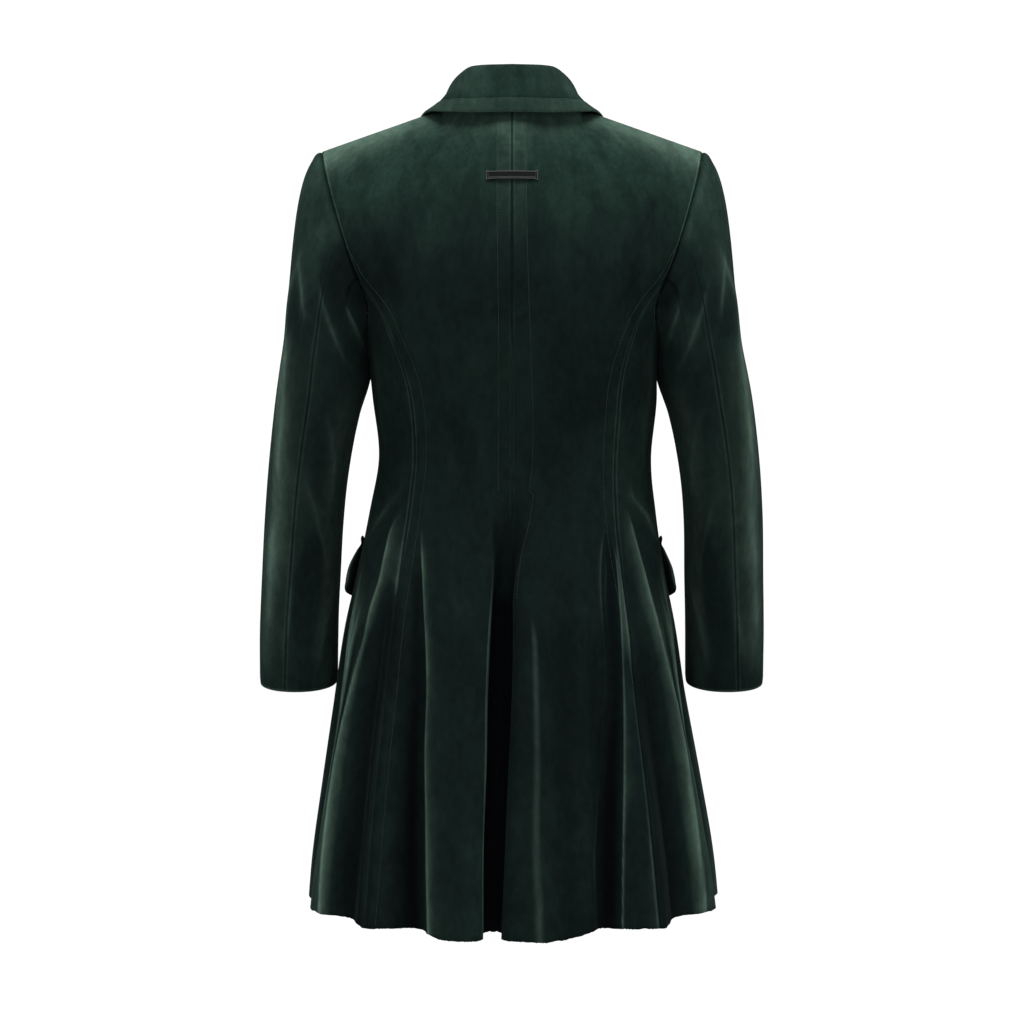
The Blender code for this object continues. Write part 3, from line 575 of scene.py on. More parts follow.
# patterns of the pile: scales on the coat, the heights between which the painted top light grows,
# and the colour of the painted shade in its hollows
pileLook = {
    "broad": (13.0, 13.0, 8.0), "streaks": (42.0, 42.0, 14.0), "grain": 260.0,
    "mottle": (150.0, 150.0, 80.0), "pile": 1900.0, "drift": (70.0, 70.0, 30.0),
    "driftShare": 1.4, "reliefDepth": 0.0006, "lightFrom": -0.20, "lightFull": 0.0,
    "paintedShade": (0.0028, 0.0033, 0.0042, 1.0),
}


def makePileGroup():
    # velvet pile: brushed patches, painted top light, painted highlights on crests and edges,
    # painted shade in hollows, fine pile
    group = bpy.data.node_groups.new("velvetPile", "ShaderNodeTree")
    face = group.interface
    for name, kind, value in (
        ("Deep", "NodeSocketColor", (0.004, 0.010, 0.009, 1.0)),
        ("Brushed and painted top light", "NodeSocketColor", (0.020, 0.045, 0.036, 1.0)),
        ("Painted highlight", "NodeSocketColor", (0.060, 0.100, 0.080, 1.0)),
        ("Painted top light", "NodeSocketFloat", 1.0),
        ("Patches", "NodeSocketFloat", 0.5),
        ("Pile depth", "NodeSocketFloat", 0.3),
    ):
        socket = face.new_socket(name=name, in_out="INPUT", socket_type=kind)
        socket.default_value = value
    face.new_socket(name="Color", in_out="OUTPUT", socket_type="NodeSocketColor")
    face.new_socket(name="Roughness", in_out="OUTPUT", socket_type="NodeSocketFloat")
    face.new_socket(name="Normal", in_out="OUTPUT", socket_type="NodeSocketVector")
    given = group.nodes.new("NodeGroupInput")
    result = group.nodes.new("NodeGroupOutput")
    place = patternPlace(group)
    # painted highlight (above 0) and painted shade (below 0), laid on each piece as an attribute
    paintedLightShade = addNode(group, "ShaderNodeAttribute", attribute_name="paintedLightShade").outputs["Fac"]
    height = addNode(group, "ShaderNodeSeparateXYZ", {"Vector": place}).outputs["Z"]

    p = pileLook
    broad = noiseNode(group, stretched(group, place, p["broad"]), 1.0, 5.0, 0.62, 0.5)
    streaks = noiseNode(group, stretched(group, place, p["streaks"]), 1.0, 4.0, 0.62, 0.3)
    grain = noiseNode(group, place, p["grain"], 3.0, 0.65)
    brushed = mathNode(group, "MULTIPLY", rangeNode(group, broad, 0.36, 0.68),
                       rangeNode(group, streaks, 0.30, 0.70, 0.35, 1.0))
    # painted top light: higher up, toward the shoulders, the pile turns to the brushed colour in
    # streaks
    high = mathNode(group, "MULTIPLY", rangeNode(group, height, p["lightFrom"], p["lightFull"]),
                    given.outputs["Painted top light"])
    streaked = mathNode(group, "MULTIPLY", high, rangeNode(group, streaks, 0.25, 0.75, 0.55, 1.25))
    amount = mathNode(group, "MULTIPLY_ADD", brushed, given.outputs["Patches"], streaked)
    speckle = rangeNode(group, grain, 0.3, 0.7, 0.86, 1.14)
    amount = mathNode(group, "MULTIPLY", amount, speckle, clamp=True)
    color = mixColor(group, amount, given.outputs["Deep"], given.outputs["Brushed and painted top light"])
    # painted highlight where the attribute is above 0
    paintedHighlight = mathNode(group, "MULTIPLY", paintedLightShade, rangeNode(group, streaks, 0.25, 0.75, 0.55, 1.15),
                     clamp=True)
    color = mixColor(group, paintedHighlight, color, given.outputs["Painted highlight"])
    # painted shade where the attribute is below 0
    paintedShade = mathNode(group, "MULTIPLY", paintedLightShade, -1.0, clamp=True)
    color = mixColor(group, paintedShade, color, p["paintedShade"])
    mottle = noiseNode(group, stretched(group, place, p["mottle"]), 1.0, 6.0, 0.66, 0.3)
    mottled = rangeNode(group, mottle, 0.30, 0.70, 0.86, 1.15)
    color = mixColor(group, 1.0, color, mottled, "MULTIPLY")
    group.links.new(color, result.inputs["Color"])
    rough = rangeNode(group, streaks, 0.2, 0.8, 0.86, 0.98)
    group.links.new(rough, result.inputs["Roughness"])
    pile = noiseNode(group, place, p["pile"], 2.0, 0.6)
    drift = noiseNode(group, stretched(group, place, p["drift"]), 1.0, 3.0, 0.6)
    relief = mathNode(group, "MULTIPLY_ADD", drift, p["driftShare"], pile)
    bumpNode = addNode(group, "ShaderNodeBump", {
        "Strength": given.outputs["Pile depth"], "Distance": p["reliefDepth"], "Height": relief,
    })
    group.links.new(bumpNode.outputs["Normal"], result.inputs["Normal"])
    return group


# pile colours: deep; brushed, also the colour of the painted top light toward the shoulders; and
# the painted highlight on crests and edges. shoulder sets the amount of painted top light, patches
# the brushed patches
velvetLook = {
    "deep": (0.0068, 0.0128, 0.0120, 1.0),
    "brushed": (0.0300, 0.0660, 0.0500, 1.0),
    "paintedHighlight": (0.1050, 0.1700, 0.1350, 1.0),
    "shoulder": 0.50,
    "patches": 0.18,
    "pileDepth": 0.25,
    "sheen": 0.025,
    "sheenRoughness": 0.28,
    "sheenTint": (0.62, 0.90, 0.76, 1.0),
}


def newMaterial(name, **sockets):
    material = bpy.data.materials.new(name)
    material.use_nodes = True
    shader = material.node_tree.nodes["Principled BSDF"]
    for socket, value in sockets.items():
        shader.inputs[socket.replace("_", " ")].default_value = value
    return material, material.node_tree, shader


def makeVelvet(name, pileGroup, **changes):
    look = {**velvetLook, **changes}
    material, tree, shader = newMaterial(
        name, Sheen_Weight=look["sheen"], Sheen_Roughness=look["sheenRoughness"],
        Sheen_Tint=look["sheenTint"], Specular_IOR_Level=0.0,
    )
    pile = addNode(tree, "ShaderNodeGroup", node_tree=pileGroup)
    for socket, key in (
        ("Deep", "deep"), ("Brushed and painted top light", "brushed"), ("Painted highlight", "paintedHighlight"),
        ("Painted top light", "shoulder"), ("Patches", "patches"), ("Pile depth", "pileDepth"),
    ):
        pile.inputs[socket].default_value = look[key]
    tree.links.new(pile.outputs["Color"], shader.inputs["Base Color"])
    tree.links.new(pile.outputs["Roughness"], shader.inputs["Roughness"])
    tree.links.new(pile.outputs["Normal"], shader.inputs["Normal"])
    return material


def joinSurface(tree, shader, color, rough, relief=None, strength=0.3, depth=0.0003):
    tree.links.new(color, shader.inputs["Base Color"])
    tree.links.new(rough, shader.inputs["Roughness"])
    if relief is not None:
        node = addNode(tree, "ShaderNodeBump", {
            "Strength": strength, "Distance": depth, "Height": relief,
        })
        tree.links.new(node.outputs["Normal"], shader.inputs["Normal"])


reverseLook = {
    "dark": (0.007, 0.013, 0.012, 1.0), "light": (0.014, 0.024, 0.021, 1.0),
    "gap": (0.003, 0.006, 0.005, 1.0), "weave": 420.0, "blotches": 22.0,
}


def makeReverse():
    # back of the cloth: plain fine weave, a little lighter than the pile
    look = reverseLook
    material, tree, shader = newMaterial(
        "velvetReverse", Sheen_Weight=0.02, Specular_IOR_Level=0.15,
    )
    place = patternPlace(tree)
    threads = addNode(tree, "ShaderNodeTexWave", {
        "Vector": place, "Scale": look["weave"], "Distortion": 1.5, "Detail": 2.0,
    }, wave_type="BANDS", bands_direction="Z").outputs["Fac"]
    blotch = noiseNode(tree, place, look["blotches"], 3.0)
    color = mixColor(tree, blotch, look["dark"], look["light"])
    color = mixColor(tree, mathNode(tree, "MULTIPLY", threads, 0.25), color, look["gap"])
    joinSurface(tree, shader, color, rangeNode(tree, blotch, 0.2, 0.8, 0.75, 0.9), threads)
    return material


# topstitching thread, paler higher up toward the shoulders: painted top light
threadLook = {
    "low": (0.016, 0.032, 0.026, 1.0), "high": (0.050, 0.088, 0.070, 1.0),
    "shade": (0.010, 0.020, 0.017, 1.0), "twist": 900.0, "topLightFrom": -0.32, "topLightFull": -0.02,
}


def makeThread():
    look = threadLook
    material, tree, shader = newMaterial("greenThread", Sheen_Weight=0.12, Specular_IOR_Level=0.3)
    place = patternPlace(tree)
    twist = noiseNode(tree, place, look["twist"], 2.0)
    height = addNode(tree, "ShaderNodeSeparateXYZ", {"Vector": place}).outputs["Z"]
    # painted top light on the thread
    paintedTopLight = rangeNode(tree, height, look["topLightFrom"], look["topLightFull"])
    color = mixColor(tree, paintedTopLight, look["low"], look["high"])
    color = mixColor(tree, mathNode(tree, "MULTIPLY", twist, 0.5), color, look["shade"])
    joinSurface(tree, shader, color, rangeNode(tree, twist, 0.3, 0.7, 0.5, 0.75))
    return material


# the loop's leather, paler where the attribute lays a painted highlight: along its edges, its
# crease and its stitched ends
leatherLook = {
    "dark": (0.0018, 0.0024, 0.0026, 1.0), "light": (0.0050, 0.0062, 0.0064, 1.0),
    "edge": (0.120, 0.130, 0.128, 1.0), "grain": 1500.0, "scuffs": 120.0, "relief": 0.35,
}


def makeLeather():
    look = leatherLook
    material, tree, shader = newMaterial("darkLeather", Specular_IOR_Level=0.10)
    place = patternPlace(tree)
    edge = addNode(tree, "ShaderNodeAttribute", attribute_name="paintedLightShade").outputs["Fac"]
    cells = addNode(tree, "ShaderNodeTexVoronoi", {"Vector": place, "Scale": look["grain"]},
                    feature="DISTANCE_TO_EDGE").outputs["Distance"]
    scuffs = noiseNode(tree, place, look["scuffs"], 4.0)
    color = mixColor(tree, scuffs, look["dark"], look["light"])
    # painted highlight from the attribute
    color = mixColor(tree, edge, color, look["edge"])
    rough = rangeNode(tree, scuffs, 0.25, 0.75, 0.55, 0.72)
    joinSurface(tree, shader, color, rough, cells, look["relief"])
    return material


hornLook = {
    "dark": (0.008, 0.007, 0.006, 1.0), "light": (0.050, 0.036, 0.024, 1.0),
    "bands": (260.0, 260.0, 90.0), "scratches": 1400.0, "relief": 0.08, "reliefDepth": 0.0002,
    "holeDark": (0.001, 0.001, 0.001, 1.0), "holeLight": (0.003, 0.003, 0.003, 1.0),
}


def makeHorn():
    look = hornLook
    material, tree, shader = newMaterial("darkHorn", Coat_Weight=0.25, Coat_Roughness=0.15)
    place = patternPlace(tree)
    bands = noiseNode(tree, stretched(tree, place, look["bands"]), 1.0, 4.0, 0.6, 1.2)
    color = mixColor(tree, rangeNode(tree, bands, 0.35, 0.65), look["dark"], look["light"])
    joinSurface(tree, shader, color, rangeNode(tree, bands, 0.3, 0.7, 0.22, 0.38),
                noiseNode(tree, place, look["scratches"], 2.0), look["relief"], look["reliefDepth"])
    return material


# painted shade for the button's holes: near-black discs, the holes are not cut
def makeHoleShade():
    material, tree, shader = newMaterial("holeShade", Roughness=0.9)
    specks = noiseNode(tree, patternPlace(tree), 900.0)
    color = mixColor(tree, specks, hornLook["holeDark"], hornLook["holeLight"])
    tree.links.new(color, shader.inputs["Base Color"])
    return material


pileGroup = makePileGroup()
velvet = makeVelvet("greenVelvet", pileGroup)
collarVelvet = makeVelvet("collarVelvet", pileGroup, shoulder=0.34, patches=0.30)
reverse = makeReverse()
thread = makeThread()
leather = makeLeather()
horn = makeHorn()
holeShade = makeHoleShade()
print("materials made")


# cloth pieces

def unevenHem(points):
    # the cut edge at the hem wavers a little
    x, y = points[0, :, 0], points[0, :, 1]
    run = np.concatenate([[0], np.cumsum(np.hypot(np.diff(x), np.diff(y)))])
    points[0, :, 2] += sum(
        height * np.sin(run * wave + shift * np.sin(run * slowWave))
        for height, wave, shift, slowWave in hemForm["wavers"]
    )


def linkPiece(name, mesh, materials):
    data = bpy.data.meshes.new(name)
    mesh.to_mesh(data)
    mesh.free()
    for material in materials:
        data.materials.append(material)
    data.shade_smooth()
    piece = bpy.data.objects.new(name, data)
    bpy.context.collection.objects.link(piece)
    return piece


def clothPiece(name, points, normals, paintedLightShade, materials, wallThickness=None):
    # one panel: a grid moved to its place, given its wall by a modifier and shaded smooth
    rows, columns = points.shape[:2]
    mesh = bmesh.new()
    mesh.loops.layers.uv.new("UVMap")
    bmesh.ops.create_grid(mesh, x_segments=columns - 1, y_segments=rows - 1, size=0.5,
                          calc_uvs=True)
    # the attribute carries the painted highlight and painted shade of the pile
    paintedLightShadeLayer = mesh.verts.layers.float.new("paintedLightShade")
    for vert in mesh.verts:
        column = round((vert.co.x + 0.5) * (columns - 1))
        row = round((vert.co.y + 0.5) * (rows - 1))
        vert.co = points[row, column]
        vert[paintedLightShadeLayer] = paintedLightShade[row, column]
    mesh.normal_update()
    mesh.faces.ensure_lookup_table()
    middle = mesh.faces[(rows // 2) * (columns - 1) + columns // 2]
    if middle.normal.dot(Vector(normals[rows // 2, columns // 2])) < 0:
        bmesh.ops.reverse_faces(mesh, faces=mesh.faces)
    piece = linkPiece(name, mesh, materials)
    wall = piece.modifiers.new("cloth wall", "SOLIDIFY")
    wall.thickness = wallThickness or cloth["wall"]
    wall.offset = -1.0
    wall.material_offset = 1
    wall.material_offset_rim = 0
    return piece


def standsFor(piece, node):
    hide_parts(node)
    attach(piece, "root")


# topstitching: short threads laid along a line on a panel
stitching = {
    "pitch": 0.0032, "length": 0.0025, "radius": 0.00027, "sink": 0.00010, "aheadBy": 0.001,
}


def lineOnRows(points, normals, distance, wanted):
    # on each row, the place at the wanted distance; distance grows along the row
    places, outs = [], []
    for row, out, run, want in zip(points, normals, distance, np.broadcast_to(wanted, len(points))):
        order = np.argsort(run)
        places.append([np.interp(want, run[order], row[order, k]) for k in range(3)])
        outs.append([np.interp(want, run[order], out[order, k]) for k in range(3)])
    return np.array(places), unit(np.array(outs))


def placeAlong(run, rows, at):
    return np.array([np.interp(at, run, rows[:, k]) for k in range(3)])


def addStitches(name, places, outs, slotName="velvet"):
    s = stitching
    run = np.concatenate([[0], np.cumsum(np.linalg.norm(np.diff(places, axis=0), axis=1))])
    mesh = bmesh.new()
    for number in range(int(run[-1] / s["pitch"])):
        at = (number + 0.5) * s["pitch"]
        ahead = placeAlong(run, places, at + s["aheadBy"])
        forward = unit(ahead - placeAlong(run, places, at - s["aheadBy"]))
        across = unit(np.cross(unit(placeAlong(run, outs, at)), forward))
        out = np.cross(forward, across)
        spot = placeAlong(run, places, at) + out * (s["radius"] - s["sink"])
        turned = Matrix((*zip(across, out, forward, spot), (0, 0, 0, 1)))
        bmesh.ops.create_icosphere(
            mesh, subdivisions=1, radius=1.0,
            matrix=turned @ Matrix.Diagonal((s["radius"], s["radius"], s["length"] / 2, 1.0)),
        )
    bmesh.ops.recalc_face_normals(mesh, faces=mesh.faces)
    piece = linkPiece(name, mesh, [thread])
    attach(piece, "root")


# back panels, with the pleat turned in at the centre
backPiece = {
    "skirtRows": 150, "chestRows": 62, "pleatColumns": 20, "columns": 124, "soften": 12,
    "pleatTop": -0.400, "pleatFull": -0.500, "pleatDepth": 0.032, "pleatShoulder": 0.0032,
    "pleatShare": 0.14, "foldWidth": 0.0045, "hemRise": 0.0050, "foldRise": 0.0030,
    "foldFade": 0.03, "centreDip": 0.35, "highLight": 2.2, "skirtTop": (-0.430, -0.500),
    "skirtLight": {"left": -0.35, "right": 0.60}, "skirtFade": 0.0030,
    "puckers": 0.00025, "puckersAt": (1, 0.008, 0.006), "bandLight": 0.10,
    "shoulderLight": (0.85, 0, 0.032), "neckLight": (0.20, 0.022, 0.030),
    "foldLight": {"left": 0.45, "right": 0.10}, "pleatShade": 1.3, "besideShade": 0.55,
    "stitchEnd": {"left": -0.400, "right": -0.512},
    "flat": (0.245, 0.875), "area": 0.130,
}
# level, then the left and the right fold edge and the seam inside, across
pleatEdges = np.array([
    (-0.400, 0.0150, -0.0010, 0.0000), (-0.480, 0.0172, -0.0015, 0.0060),
    (-0.520, 0.0200, -0.0030, 0.0090), (-0.610, 0.0240, -0.0020, 0.0110),
    (-0.674, 0.0250, 0.0020, 0.0130), (-0.750, 0.0278, 0.0060, 0.0160),
    (-0.850, 0.0285, 0.0110, 0.0190),
])
pleatTurn = [(0.00, 1.00), (0.45, 1.02), (0.95, 0.80), (1.10, 0.40), (1.00, 0.00)]


def backShares():
    p = backPiece
    inner = p["pleatShare"] * np.arange(p["pleatColumns"]) / p["pleatColumns"]
    outer = p["pleatShare"] + (1 - p["pleatShare"]) * spread(p["columns"])
    return np.concatenate([inner, outer])


def backLower(side, shareUp, shares):
    p = backPiece
    pleat = p["pleatShare"]
    hem, chest = levels["hem"], levels["chest"]
    z = hem + (chest - hem) * shareUp
    seamAngle = angleAt(curveAt(backSeam, z)[..., 0], z)
    level = z + (hemLevel(seamAngle * shares) - hem) * (1 - shareUp) ** 3
    # the hem rises inside the pleat and rounds off at its fold
    rise = p["hemRise"] * smoothStep(shares, 0.13, 0.08)
    rise = rise + p["foldRise"] * np.exp(-np.abs(shares - pleat) / p["foldFade"])
    level = level + rise * (1 - shareUp) ** 3
    flat = bodyPoint(side * seamAngle * shares, level)
    opened = smoothStep(level, p["pleatTop"], p["pleatFull"])
    moved = smoothStep(level, p["pleatTop"], p["pleatFull"] - 0.02)
    left, right, innerSeam = np.moveaxis(curveAt(pleatEdges, level), -1, 0)
    edge = left if side > 0 else -right
    edgeAngle = angleAt(edge, level)
    rest = np.clip((shares - pleat) / (1 - pleat), 0.0, 1.0)
    outer = bodyPoint(side * (edgeAngle + (seamAngle - edgeAngle) * rest), level)
    width = np.abs(outer[..., 0] - side * edge)
    outer[..., 1] -= p["pleatShoulder"] * np.exp(-width / p["foldWidth"]) * opened
    turn = np.clip(shares / pleat, 0.0, 1.0)
    across, deep = np.moveaxis(along(pleatTurn, turn), -1, 0)
    surface = bodyPoint(angleAt(innerSeam, level), level)[..., 1] * (1 - turn)
    surface = surface + bodyPoint(side * edgeAngle, level)[..., 1] * turn
    inner = np.stack([
        innerSeam + (side * edge - innerSeam) * across,
        surface - p["pleatDepth"] * deep - p["pleatShoulder"] * turn * opened,
        level,
    ], -1)
    inside = (shares < pleat)[..., None]
    pleated = np.where(inside, inner, outer)
    weight = np.where(inside[..., 0], opened * (1 - turn) + moved * turn, moved)[..., None]
    return flat + (pleated - flat) * weight * (level < p["pleatTop"])[..., None]


def backGrid(side):
    p = backPiece
    shares = backShares()[None, :]
    shareUp = (np.arange(p["skirtRows"] + 1) / p["skirtRows"])[:, None]
    lower = backLower(side, *np.broadcast_arrays(shareUp, shares))
    up = (np.arange(1, p["chestRows"] + 1) / p["chestRows"])[:, None]
    upper = backUpper(shares, up) * (side, 1, 1)
    return softenRows(np.concatenate([lower, upper]), p["skirtRows"], p["soften"])


# topstitching of the back: level, then how far it runs from the middle or from the shaped seam
centreStitchLeft = np.array([
    (0.000, 0.0152), (-0.130, 0.0150), (-0.270, 0.0134), (-0.400, 0.0142), (-0.850, 0.0142),
])
centreStitchRight = np.array([
    (0.000, 0.0150), (-0.130, 0.0152), (-0.267, 0.0194), (-0.335, 0.0214), (-0.375, 0.0204),
    (-0.408, 0.0163), (-0.440, 0.0132), (-0.482, 0.0072), (-0.515, 0.0042),
])
seamStitchLeft = np.array([
    (-0.146, 0.0010), (-0.165, 0.0070), (-0.190, 0.0125), (-0.240, 0.0140), (-0.400, 0.0132),
    (-0.600, 0.0122), (-0.850, 0.0115),
])
seamStitchRight = np.array([
    (-0.140, 0.0010), (-0.160, 0.0070), (-0.185, 0.0125), (-0.240, 0.0140), (-0.400, 0.0132),
    (-0.480, 0.0092), (-0.545, 0.0060), (-0.600, 0.0010),
])


def makeBacks():
    p = backPiece
    for side, end in ((1, "left"), (-1, "right")):
        centreStitch, seamStitch = (
            (centreStitchLeft, seamStitchLeft) if side > 0 else (centreStitchRight, seamStitchRight)
        )
        points = backGrid(side)
        normals = gridNormals(points, np.array((0.0, 1.0, 0.0)))
        normals[p["skirtRows"] - 75:, 0, 0] = 0.0
        normals = unit(normals)
        z = points[..., 2]
        height, paintedLightShade = creasesAt(angleOn(points), z)
        height = height * smoothStep(z, levels["chest"], levels["chest"] + 0.012)
        points = points + normals * height[..., None]
        inside = np.arange(points.shape[1]) < p["pleatColumns"]
        opened = smoothStep(z, p["pleatTop"], p["pleatFull"])
        paintedLightShade = paintedLightShade * np.where(inside, 1 - opened, 1.0)
        fromCentre = np.abs(points[..., 0])
        fromSeam = rowDistance(points, last=True)
        dip, light = seamEdge(fromSeam)
        centreDip, centreLight = seamEdge(fromCentre * 1.5)
        closed = smoothStep(z, p["pleatFull"] + 0.03, p["pleatTop"])
        dip = dip + p["centreDip"] * centreDip * closed
        # painted highlight beside the shaped seam and the centre seam, stronger on the upper back
        high = smoothStep(z, levels["chest"], levels["chest"] + 0.05)
        paintedLightShade = paintedLightShade + light * (1 + p["highLight"] * high) + centreLight * (0.5 + high) * closed
        # below the waist the right back stands out at its seam and the left one lies under: painted
        # highlight on the right seam, painted shade on the left
        skirt = smoothStep(z, *p["skirtTop"])
        paintedLightShade = paintedLightShade + skirt * p["skirtLight"][end] * np.exp(-fromSeam / p["skirtFade"])
        # painted highlight on the band inside the centre stitching and on its puckers
        band = (fromCentre < curveAt(centreStitch, z)[..., 0]) * smoothStep(z, -0.20, -0.04)
        pucker = np.sin(z * 1500 + 3 * np.sin(z * 210)) * stripe(fromCentre, *p["puckersAt"])
        dip = dip + p["puckers"] * pucker * band
        paintedLightShade = paintedLightShade + p["bandLight"] * band * (1 + pucker * smoothStep(z, -0.11, -0.06))
        # painted highlight where the shoulder catches the light, most of all away from the neck,
        # and painted light below the neck
        shoulderDistance = columnDistance(points, last=True)
        outward = smoothStep(backShares(), 0.30, 0.62)[None, :]
        paintedLightShade = paintedLightShade + stripe(shoulderDistance, *p["shoulderLight"]) * outward
        paintedLightShade = paintedLightShade + stripe(shoulderDistance, *p["neckLight"]) * (1 - outward)
        # painted highlight on the fold edges of the pleat, painted shade on the cloth inside the
        # pleat and beside it
        fold = np.abs(np.arange(points.shape[1]) - p["pleatColumns"])[None, :]
        dark = smoothStep(z, p["pleatTop"] - 0.055, p["pleatFull"] - 0.045)
        paintedLightShade = paintedLightShade + p["foldLight"][end] * bump(fold / 1.4) * dark
        paintedLightShade = paintedLightShade - p["pleatShade"] * dark * np.where(inside, smoothStep(fold, 0, 6), 0.0)
        if side < 0:
            paintedLightShade = paintedLightShade - p["besideShade"] * dark * np.exp(-fold / 16.0) * ~inside
        points = points + normals * dip[..., None]
        unevenHem(points)
        piece = clothPiece(f"backVelvet_{end}", points, normals, paintedLightShade, [velvet, reverse])
        standsFor(piece, f"back_{end}")
        run = np.where(inside & (z < p["pleatTop"]), -1.0, fromCentre)
        rows = z[:, 0] > p["stitchEnd"][end]
        line = lineOnRows(points[rows], normals[rows], run[rows],
                          curveAt(centreStitch, z[rows, p["pleatColumns"]])[..., 0])
        addStitches(f"centreStitch_{end}", *line)
        lowest = max(seamStitch[-1, 0], levels["hem"] + 0.004)
        rows = (z[:, -1] < seamStitch[0, 0]) & (z[:, -1] > lowest)
        line = lineOnRows(points[rows][:, ::-1], normals[rows][:, ::-1], fromSeam[rows][:, ::-1],
                          curveAt(seamStitch, z[rows, -1])[..., 0])
        addStitches(f"seamStitch_{end}", *line)


# side panels
sidePiece = {
    "rows": 150, "columns": 140, "tuck": 0.015, "tuckDepth": 0.0022, "topRound": 2.6,
    "skirtTop": (-0.430, -0.500), "skirtLight": {"left": 0.42, "right": -0.30},
    "skirtFade": 0.0030, "middleLight": 0.06, "flat": (0.250, 0.670), "area": 0.118,
}


def sideTop(share):
    rise = np.abs(2 * np.clip(share, 0.0, 1.0) - 1) ** sidePiece["topRound"]
    return levels["underarm"] + (levels["chest"] - levels["underarm"]) * rise


def sideAngle(share, z):
    back = angleAt(curveAt(backSeam, z)[..., 0], z)
    front = pi - angleAt(curveAt(frontSeam, z)[..., 0], z)
    return back + (front - back) * share


def makeSides():
    p = sidePiece
    for side, end in ((1, "left"), (-1, "right")):
        shares = spread(p["columns"]) * (1 + 2 * p["tuck"]) - p["tuck"]
        up, share = np.meshgrid(np.linspace(0, 1, p["rows"] + 1), shares, indexing="ij")
        hem, chest = levels["hem"], levels["chest"]
        z = hem + (chest - hem) * up
        z = z + (sideTop(share) - chest) * smoothStep(up, 0.45, 1.0)
        z = z + (hemLevel(sideAngle(share, z)) - hem) * (1 - up) ** 3
        angle = side * sideAngle(share, z)
        points = bodyPoint(angle, z)
        normals = gridNormals(points, np.array((side, 0.0, 0.0)))
        width = rowDistance(points)[:, -1:] / (1 + 2 * p["tuck"])
        dipBack, lightBack = seamEdge(np.abs(share) * width)
        dipFront, lightFront = seamEdge(np.abs(1 - share) * width)
        beyond = np.maximum(np.maximum(-share, share - 1), 0.0) * width
        dipBack = dipBack - p["tuckDepth"] * smoothStep(beyond, 0.0002, 0.0012)
        # painted light and shade of the creases and painted highlight beside both seams
        paintedLightShade = creasesAt(angle, z)[1] + lightBack + lightFront
        # below the waist the left seam stands out and the right one lies under the back: painted
        # highlight on the left, painted shade on the right
        skirt = smoothStep(z, *p["skirtTop"])
        fromBack = np.maximum(share, 0.0) * width
        paintedLightShade = paintedLightShade + skirt * p["skirtLight"][end] * np.exp(-fromBack / p["skirtFade"])
        # painted highlight down the middle of the panel below the waist
        middle = smoothStep(share * (1 - share), 0.05, 0.20) * smoothStep(z, -0.46, -0.56)
        paintedLightShade = paintedLightShade + p["middleLight"] * middle
        points = points + normals * (dipBack + dipFront)[..., None]
        unevenHem(points)
        piece = clothPiece(f"sideVelvet_{end}", points, normals, paintedLightShade, [velvet, reverse])
        standsFor(piece, f"side_{end}")


# front panels, lapped right over left
frontPiece = {
    "skirtRows": 130, "chestRows": 56, "columns": 96,
    "overlap": 0.020, "overlapStep": 0.0026, "overlapRamp": 0.030, "stitchIn": 0.0075,
    "edgeLight": (0.4, 0, 0.0012),
    "flat": (0.275, 0.860), "area": 0.158,
}
skirtUnits, chestUnits = 25, 8  # how far up a front its skirt and its chest count, for the lapel


def frontEdge(z):
    overlap = frontPiece["overlap"]
    share = (z - levels["lapelBreak"]) / (levels["chest"] - levels["lapelBreak"])
    return -overlap + (rollLine[0, 0] + overlap) * np.clip(share, 0.0, 1.0)


def frontPoint(side, row, share):
    # row counts skirtUnits from the hem to the chest line and chestUnits from there to the
    # shoulder, share runs from the front edge to the side seam
    p = frontPiece
    row, share = np.broadcast_arrays(np.asarray(row, float), np.asarray(share, float))
    hem, chest = levels["hem"], levels["chest"]
    low = np.minimum(row, skirtUnits)
    z = hem + (chest - hem) * low / skirtUnits
    z = z + (hemLevel(pi / 2) - hem) * (1 - low / skirtUnits) ** 3
    inner = pi - angleAt(frontEdge(z), z)
    outer = pi - angleAt(curveAt(frontSeam, z)[..., 0], z)
    point = bodyPoint(side * (inner + (outer - inner) * share), z)
    if side > 0:
        fade = 1 - smoothStep(point[..., 0], p["overlap"], p["overlap"] + p["overlapRamp"])
        fade = fade * (1 - smoothStep(z, levels["parting"], chest))
        point[..., 1] += p["overlapStep"] * fade
    up = np.clip((row - skirtUnits) / chestUnits, 0.0, 1.0)
    upper = frontUpper(share, up) * (side, 1, 1)
    return np.where((row > skirtUnits)[..., None], upper, point)


def makeFronts():
    p = frontPiece
    for side, end in ((1, "left"), (-1, "right")):
        rows = np.concatenate([
            np.linspace(0, skirtUnits, p["skirtRows"] + 1),
            skirtUnits + chestUnits * np.arange(1, p["chestRows"] + 1) / p["chestRows"],
        ])
        points = frontPoint(side, rows[:, None], spread(p["columns"])[None, :])
        points = softenRows(points, p["skirtRows"], 8, 8)
        normals = gridNormals(points, np.array((0.0, -1.0, 0.0)))
        dip, light = seamEdge(rowDistance(points, last=True))
        edge = rowDistance(points)
        # painted light and shade of the creases, painted highlight beside the side seam and along
        # the front edge
        paintedLightShade = creasesAt(angleOn(points), points[..., 2])[1] + light + stripe(edge, *p["edgeLight"])
        points = points + normals * dip[..., None]
        unevenHem(points)
        piece = clothPiece(f"frontVelvet_{end}", points, normals, paintedLightShade, [velvet, reverse])
        standsFor(piece, f"front_{end}")
        below = points[:, 0, 2] < levels["lapelBreak"]
        line = lineOnRows(points[below], normals[below], edge[below], p["stitchIn"])
        addStitches(f"frontStitch_{end}", *line)


